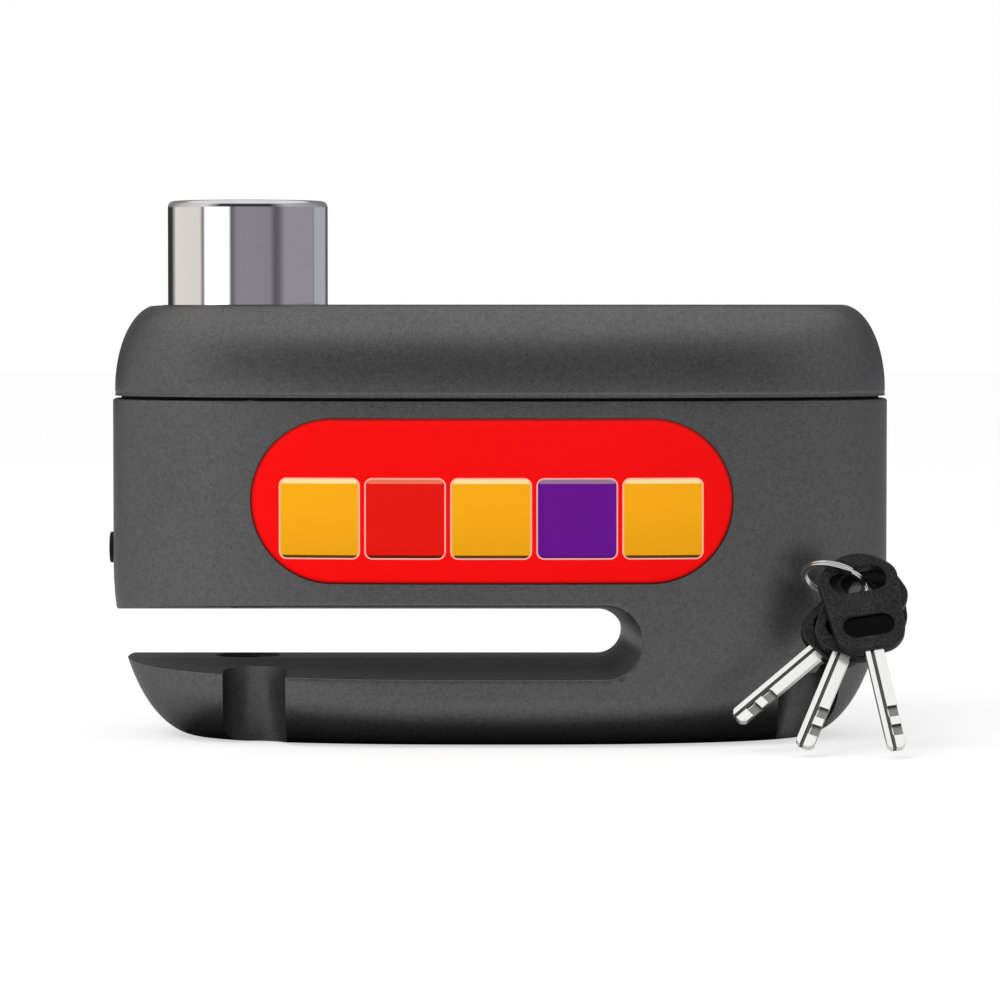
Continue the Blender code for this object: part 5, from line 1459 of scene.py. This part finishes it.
@dataclass
class KeyBunch(Assembly):
    """Three keys on a split ring, leaning on the body's front right."""

    around: float = math.radians(41.5)
    out: Pair = (0.0055, 0.0045)
    height: float = 0.0184
    lean: float = math.radians(33.0)
    layer_step: float = 0.0018
    thickness: float = 0.0015
    head_foot: float = 0.0093
    head_side: tuple[Triple, ...] = (
        (0.0022, -0.0093, 0.0010), (0.0040, -0.0079, 0.0012), (0.0047, 0.0011, 0.0013), (0.0016, 0.0035, 0.0015))
    edge: float = 0.00032
    eye: Pair = (0.0033, 0.0016)
    eye_flare: float = 0.00014
    thumb: Pair = (0.0030, 0.0014)
    thumb_y: float = -0.0061
    thumb_depth: float = 0.00042
    blade_width: float = 0.00215
    blade_thickness: float = 0.0009
    blade_edge: float = 0.00006
    blade_tip: float = 0.0220
    tang: float = 0.0013
    groove: Pair = (-0.0003, 0.00021)
    bits: Pair = (0.0016, 0.0040)
    bit_length: float = 0.0014
    bit_depth: float = 0.00045
    ring_radius: float = 0.0036
    ring_start: float = math.radians(60.0)
    wire: float = 0.00035
    ring_tilt: float = math.radians(16.5)

    def rack(self) -> Array:
        """Frame of the bunch: its Z is square to the heads, and its origin is the middle key's hinge."""
        shape = CastOutline()
        power = 2.0 / shape.exponent
        x = shape.half_length * math.cos(self.around) ** power + self.out[0]
        y = -shape.half_depth * math.sin(self.around) ** power - self.out[1]
        return shift_matrix((x, y, self.height)) @ turn_matrix(0, QUARTER - self.lean)

    def head_outline(self) -> Array:
        """A gabled top on broad shoulders, tapering to a narrower foot with clipped corners."""
        left = tuple((-x, y, cut) for x, y, cut in reversed(self.head_side))
        start = (0.0, -self.head_foot)
        return rounded([start, *self.head_side, *left, start], 8)[:-1]

    def rolled_plate(self, outline: Array, half: float, edge: float) -> Shell:
        """A plate with rolled rims: at turn t it is moved in by edge (1 - cos t) at height half - edge (1 - sin t)."""
        turn = np.linspace(0.0, QUARTER, 6)
        inset, height = edge * (1 - np.cos(turn)), half - edge * (1 - np.sin(turn))
        steps = [*zip(inset[::-1], -height[::-1]), *zip(inset, height)]
        return stacked((inset_outline(outline, i), z) for i, z in steps)

    def flared(self, outline: Array, half: float, flare: float) -> Shell:
        """Cutter through a plate that opens out towards both faces."""
        steps = [(-flare * 2.2, half + flare), (-flare * 0.9, half - flare * 0.2), (0.0, half - flare * 1.2)]
        steps = [(i, -z) for i, z in steps] + steps[::-1]
        return stacked((inset_outline(outline, i), z) for i, z in steps)

    def bowl(self, centre: Pair, half: float) -> Shell:
        """Cutter for the thumb recess, with a rolled rim and a flat floor."""
        deep = self.thumb_depth
        steps = ((-0.00040, -0.00030), (-0.00004, 0.00004), (0.00006, 0.00016), (0.00016, deep - 0.00006),
                 (0.00034, deep))
        return stacked((inset_outline(stadium(*self.thumb, centre), inset), half - depth) for inset, depth in steps)

    def laid(self, lay: Lay) -> tuple[str, float, Array, tuple[Triple, ...]]:
        """Where a key lies.

        Args:
            lay: The key.

        Returns:
            Its name, how far it stands across its hinge, its placing matrix, and its three axes and origin.
        """
        name, layer, degrees, shift = lay.value
        turn = turn_matrix(2, math.radians(degrees))
        place = self.rack() @ shift_matrix((0.0, 0.0, layer * self.layer_step)) @ turn
        across, along, square, origin = (tuple(float(v) for v in column) for column in place[:3].T)
        return name, -shift, place, (across, along, square, tuple(o - shift * a for o, a in zip(origin, across)))

    def build_head(self, lay: Lay) -> None:
        """Head with a flared eye and a thumb recess, cut in the key's own flat frame."""
        name, mid, place, frame = self.laid(lay)
        half, foot = self.thickness / 2, -self.head_foot
        fit, thick = self.blade_width / 2 + 0.0001, self.blade_thickness / 2 + 0.0001
        cuts = [self.flared(stadium(*self.eye, (mid, 0.0)), half, self.eye_flare), self.bowl((mid, self.thumb_y), half),
                block((mid - fit, foot - 0.0005, -thick), (mid + fit, foot + self.tang, thick))]
        head = self.rolled_plate(self.head_outline() + np.array((mid, 0.0)), half, self.edge)
        plastic = KeyPlastic("key_plastic_" + name, "black_plastic", frame, half, (self.thumb_y, *self.thumb))
        self.make("head_" + name, head, plastic, "key_head_" + name, 42.0, "key_" + name, cuts=cuts, place=place)

    def build_blade(self, lay: Lay) -> None:
        """Blade that is milled in the key's own flat frame."""
        name, mid, place, frame = self.laid(lay)
        thick, tip = self.blade_thickness / 2, -self.blade_tip
        blade = self.rolled_plate(self.blade_outline() + np.array((mid, 0.0)), thick, self.blade_edge)
        bits = (tip + self.bits[0], tip + self.bits[1] + self.bit_length)
        steel = MilledSteel("blade_steel_" + name, "chrome", frame, self.groove, thick, bits)
        self.make("blade_" + name, blade, steel, "key_blade_" + name, 35.0, "key_" + name,
                  cuts=self.blade_cuts(mid), place=place)

    def blade_outline(self) -> Array:
        """A bar with a pointed tip."""
        half, top, tip, point = self.blade_width / 2, -self.head_foot + self.tang - 0.0001, -self.blade_tip, 0.0005
        return rounded([(half, top), (-half, top), (-half, tip + point, 0.0002), (-half + point, tip, 0.0002),
                        (half - point, tip, 0.0002), (half, tip + point, 0.0002), (half, top)], 3)[:-1]

    def blade_cuts(self, mid: float) -> list[Shell]:
        """A milled groove in each face and two bits, about a middle line."""
        half, thick, tip = self.blade_width / 2, self.blade_thickness / 2, -self.blade_tip
        x, r, deep = self.groove[0] + mid, self.groove[1], thick - self.bit_depth
        cuts = []
        for sign in (1.0, -1.0):
            out = sign * (thick + 0.0003)
            flat = np.vstack([arc((x, sign * thick), r, 0.0, -180.0 * sign, 10), [(x - r, out), (x + r, out)]])
            cuts.append(stacked(((flat, y) for y in (tip - 0.0005, -self.head_foot + 0.0004)), axis=1))
        for up in self.bits:
            low, high = (half + mid - 0.00125, tip + up), (half + mid + 0.0012, tip + up + self.bit_length)
            cuts.append(prism(round_rect(low, high, 0.00025, 5), deep, thick + 0.0005))
        return cuts

    def build_ring(self) -> None:
        """Split ring: wire carried along two turns that lie side by side and cross over in a short jog."""
        turns = np.linspace(0.0, 2 * math.tau, 361)
        lift = self.wire / 2 * (2 * eased(np.clip((turns - math.tau + 0.35) / 0.7, 0.0, 1.0)) - 1)
        radial = spun(turns + self.ring_start)
        square = np.tile([0.0, 0.0, 1.0], (len(turns), 1))
        path = radial * self.ring_radius + square * lift[:, None]
        away = np.array([-math.cos(self.ring_tilt), math.sin(self.ring_tilt), 0.0]) * self.ring_radius
        place = self.rack() @ shift_matrix(away) @ turn_matrix(2, -self.ring_tilt) @ turn_matrix(0, QUARTER)
        ring = swept(path, radial, square, stadium(self.wire, self.wire * 0.49, steps=7)).moved(place)
        self.make("split_ring", ring, RING_PLATE, "key_ring", 50.0, "key_bunch")

    def build(self) -> None:
        """Make the three keys and the ring."""
        for lay in Lay:
            self.build_head(lay)
            self.build_blade(lay)
        self.build_ring()


# ---- Inside ----
@dataclass
class Inside(Assembly):
    """Battery, board, siren and switch, which keep their solids."""

    def build(self) -> None:
        """Dress each kind."""
        self.dress(PLASTIC, "battery_tray", "battery_lid", "control_chip", "siren_housing", "switch_body")
        self.dress(CELL_CAN, *(f"battery_cell_{i}" for i in range(1, 7)))
        self.dress(STEEL, "contact_bridge", "contact_spring_front", "contact_spring_back")
        self.dress(BRASS, "piezo_disc", "vibration_sensor")
        self.dress(BOARD, "circuit_board")


# ---- Studio ----
@dataclass
class Studio:
    """Floor, camera and soft light."""

    distance: float = 0.570
    eye: float = 0.0513
    pitch: float = math.radians(2.36)
    lens: float = 172.2
    sensor: float = 36.0
    floor_radius: float = 3.0
    floor_drop: float = 0.0001
    floor_pale: Triple = (0.90,) * 3
    floor_white: Triple = (0.97,) * 3
    floor_glow: float = 0.62
    floor_bounce: float = 0.04
    foot: Pair = (0.0325, 0.0165)
    # levels the floor shows in reflections, with a painted shadow near the lock's foot
    floor_mirror_shadow: tuple[Pair, ...] = (
        (0.0, 0.0), (0.005, 0.02), (0.0066, 0.20), (0.0096, 0.52), (0.018, 0.72), (0.07, 0.78), (0.16, 0.74),
        (0.25, 0.62))
    sky: tuple[Pair, ...] = ((0.0, 0.9), (0.5, 1.0), (1.0, 1.5))
    key_watts: float = 6.0
    key_size: Pair = (0.7, 0.5)
    key_from: Triple = (-0.45, -0.65, 0.75)
    key_to: Triple = (0.0, 0.0, 0.03)
    panels_to: Pair = (0.035, 0.085)
    top_from: Pair = (0.56, 0.72)
    overhead: tuple[Pair, ...] = ((0.0, 0.80), (0.8, 0.86), (1.0, 0.80))
    sides: tuple[Pair, ...] = (
        (-180.0, 0.26), (-140.0, 0.24), (-108.0, 0.60), (-62.0, 0.78), (-38.0, 0.05), (36.0, 0.045), (62.0, 0.48),
        (110.0, 0.38), (150.0, 0.20), (179.9, 0.26))
    panels: tuple[tuple[float, Triple], ...] = (
        (-180.0, (0.04, 0.04, 0.04)), (-139.0, (0.04, 0.04, 0.04)), (-131.0, (0.36, 0.34, 0.36)),
        (-124.0, (0.86, 0.815, 0.75)), (-70.0, (0.84, 0.80, 0.735)), (-66.5, (0.30, 0.28, 0.28)),
        (-63.5, (0.30, 0.28, 0.28)), (-61.0, (1.6, 1.6, 1.6)), (-26.0, (1.6, 1.6, 1.6)), (-21.0, (0.12, 0.12, 0.13)),
        (-16.0, (0.22, 0.21, 0.235)), (-13.0, (0.295, 0.282, 0.315)), (34.0, (0.28, 0.27, 0.30)),
        (42.0, (0.125, 0.12, 0.135)), (48.0, (0.14, 0.135, 0.15)), (58.0, (0.335, 0.322, 0.36)),
        (110.0, (0.335, 0.322, 0.36)), (112.5, (0.25, 0.24, 0.27)), (115.0, (0.46, 0.45, 0.49)),
        (148.0, (0.46, 0.45, 0.49)), (157.0, (0.12, 0.12, 0.13)), (179.9, (0.10, 0.10, 0.11)))

    def floor(self) -> None:
        """A pale disc: the camera sees it near white with the shadow on it, and metal sees it pale away from the lock.

        For mirrors its level grows with the distance from the lock's foot, |max(|p| - foot, 0)|, which paints a shadow
        round the lock into what metal reflects.
        """
        shell = turned([(radius, -self.floor_drop) for radius in (0.0, *np.geomspace(0.05, self.floor_radius, 12))],
                       segments=96)
        a, b, c = shell.points[shell.quads[-1, :3]]
        facing_up = np.cross(b - a, c - b)[2] > 0.0
        floor = Shell(shell.points, shell.quads if facing_up else shell.quads[:, ::-1]).piece("floor")
        material = bpy.data.materials.new("pale_floor")
        shade = Shade(material)
        path = shade.node("LightPath").outputs
        x, y, _ = shade.axes()
        away = ((abs(x) - self.foot[0]).larger(0.0) ** 2.0 + (abs(y) - self.foot[1]).larger(0.0) ** 2.0).root()
        # painted shadow round the lock's foot, seen only in reflections
        level = shade.greys(away * 4.0, [(place * 4.0, level) for place, level in self.floor_mirror_shadow])
        seen = shade.either(self.floor_glow, shade.plain("BsdfDiffuse", self.floor_pale),
                            shade.plain("Emission", self.floor_white))
        rest = shade.either(path["Is Glossy Ray"], shade.plain("BsdfDiffuse", (self.floor_bounce,) * 3),
                            shade.plain("Emission", level))
        shade.end(shade.either(path["Is Camera Ray"], rest, seen))
        floor.data.materials.append(material)
        floor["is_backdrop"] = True

    def world(self) -> None:
        """White to the camera and through glass; soft even light on the lock; and a ring of panels in its metal.

        The panels are a ramp round the horizon for low directions, which gives way to one by height.
        """
        world = bpy.data.worlds.new("studio")
        bpy.context.scene.world = world
        shade = Shade(world)
        x, y, z = shade.axes(shade.node("TexCoord").outputs["Generated"])
        around = x.bearing(y * -1.0) / math.tau + 0.5
        panels = shade.ramp(around, [(place / 360.0 + 0.5, tone) for place, tone in self.panels])
        sides = shade.greys(around, [(place / 360.0 + 0.5, level) for place, level in self.sides])
        upper = shade.mix(sides, shade.greys(z, self.overhead), z.step(*self.top_from))
        mirrored = shade.mix(panels, upper, z.step(*self.panels_to))
        lit = shade.greys((1.0 - y) * 0.5, self.sky)
        path = shade.node("LightPath").outputs
        clear = Sock(shade, path["Is Camera Ray"]).larger(Sock(shade, path["Is Transmission Ray"]))
        inner = shade.either(path["Is Glossy Ray"], shade.plain("Background", lit),
                             shade.plain("Background", mirrored))
        shade.end(shade.either(clear, inner, shade.plain("Background", (1.0, 1.0, 1.0))), "OutputWorld")

    def put(self, name: str, data: bpy.types.ID) -> bpy.types.Object:
        """Link a lamp or camera into the scene."""
        item = bpy.data.objects.new(name, data)
        bpy.context.scene.collection.objects.link(item)
        return item

    def lamp(self) -> None:
        """One large soft panel above the front left, which gives the shadow its side."""
        data = bpy.data.lights.new("key_panel", "AREA")
        data.shape, data.energy = "RECTANGLE", self.key_watts
        data.size, data.size_y = self.key_size
        lamp = self.put("key_panel", data)
        lamp.location = self.key_from
        lamp.rotation_euler = (Vector(self.key_from) - Vector(self.key_to)).to_track_quat("Z", "Y").to_euler()
        lamp.visible_glossy = False

    def camera(self) -> None:
        """Eye level with the cover, a long lens, tipped down a little."""
        data = bpy.data.cameras.new("camera")
        data.lens, data.sensor_width = self.lens, self.sensor
        data.clip_start, data.clip_end = 0.01, 50.0
        camera = self.put("camera", data)
        camera.location = (0.0, -self.distance, self.eye)
        camera.rotation_euler = (QUARTER - self.pitch, 0.0, 0.0)
        bpy.context.scene.camera = camera

    def build(self) -> None:
        """Set the stage."""
        bpy.context.scene.view_settings.view_transform = "Standard"
        self.floor()
        self.world()
        self.lamp()
        self.camera()


def corners(box: Iterable[Any]) -> list[list[float]]:
    """Both corners of a box as plain lists."""
    return [[float(value) for value in corner] for corner in box]


def main() -> None:
    """Load the frame, build each sub-assembly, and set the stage."""
    logging.basicConfig(level=logging.INFO, format="%(name)s: %(message)s")
    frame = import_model()
    cad_box = corners(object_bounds())
    for kind in (CastBody, Cover, LabelPlate, Trim, Plunger, KeyBunch, Inside):
        LOG.info("building %s", kind.__name__)
        kind(frame).build()
    Studio().build()
    {"cad": cad_box, "visual": corners(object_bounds())}


if __name__ == "__main__":
    main()
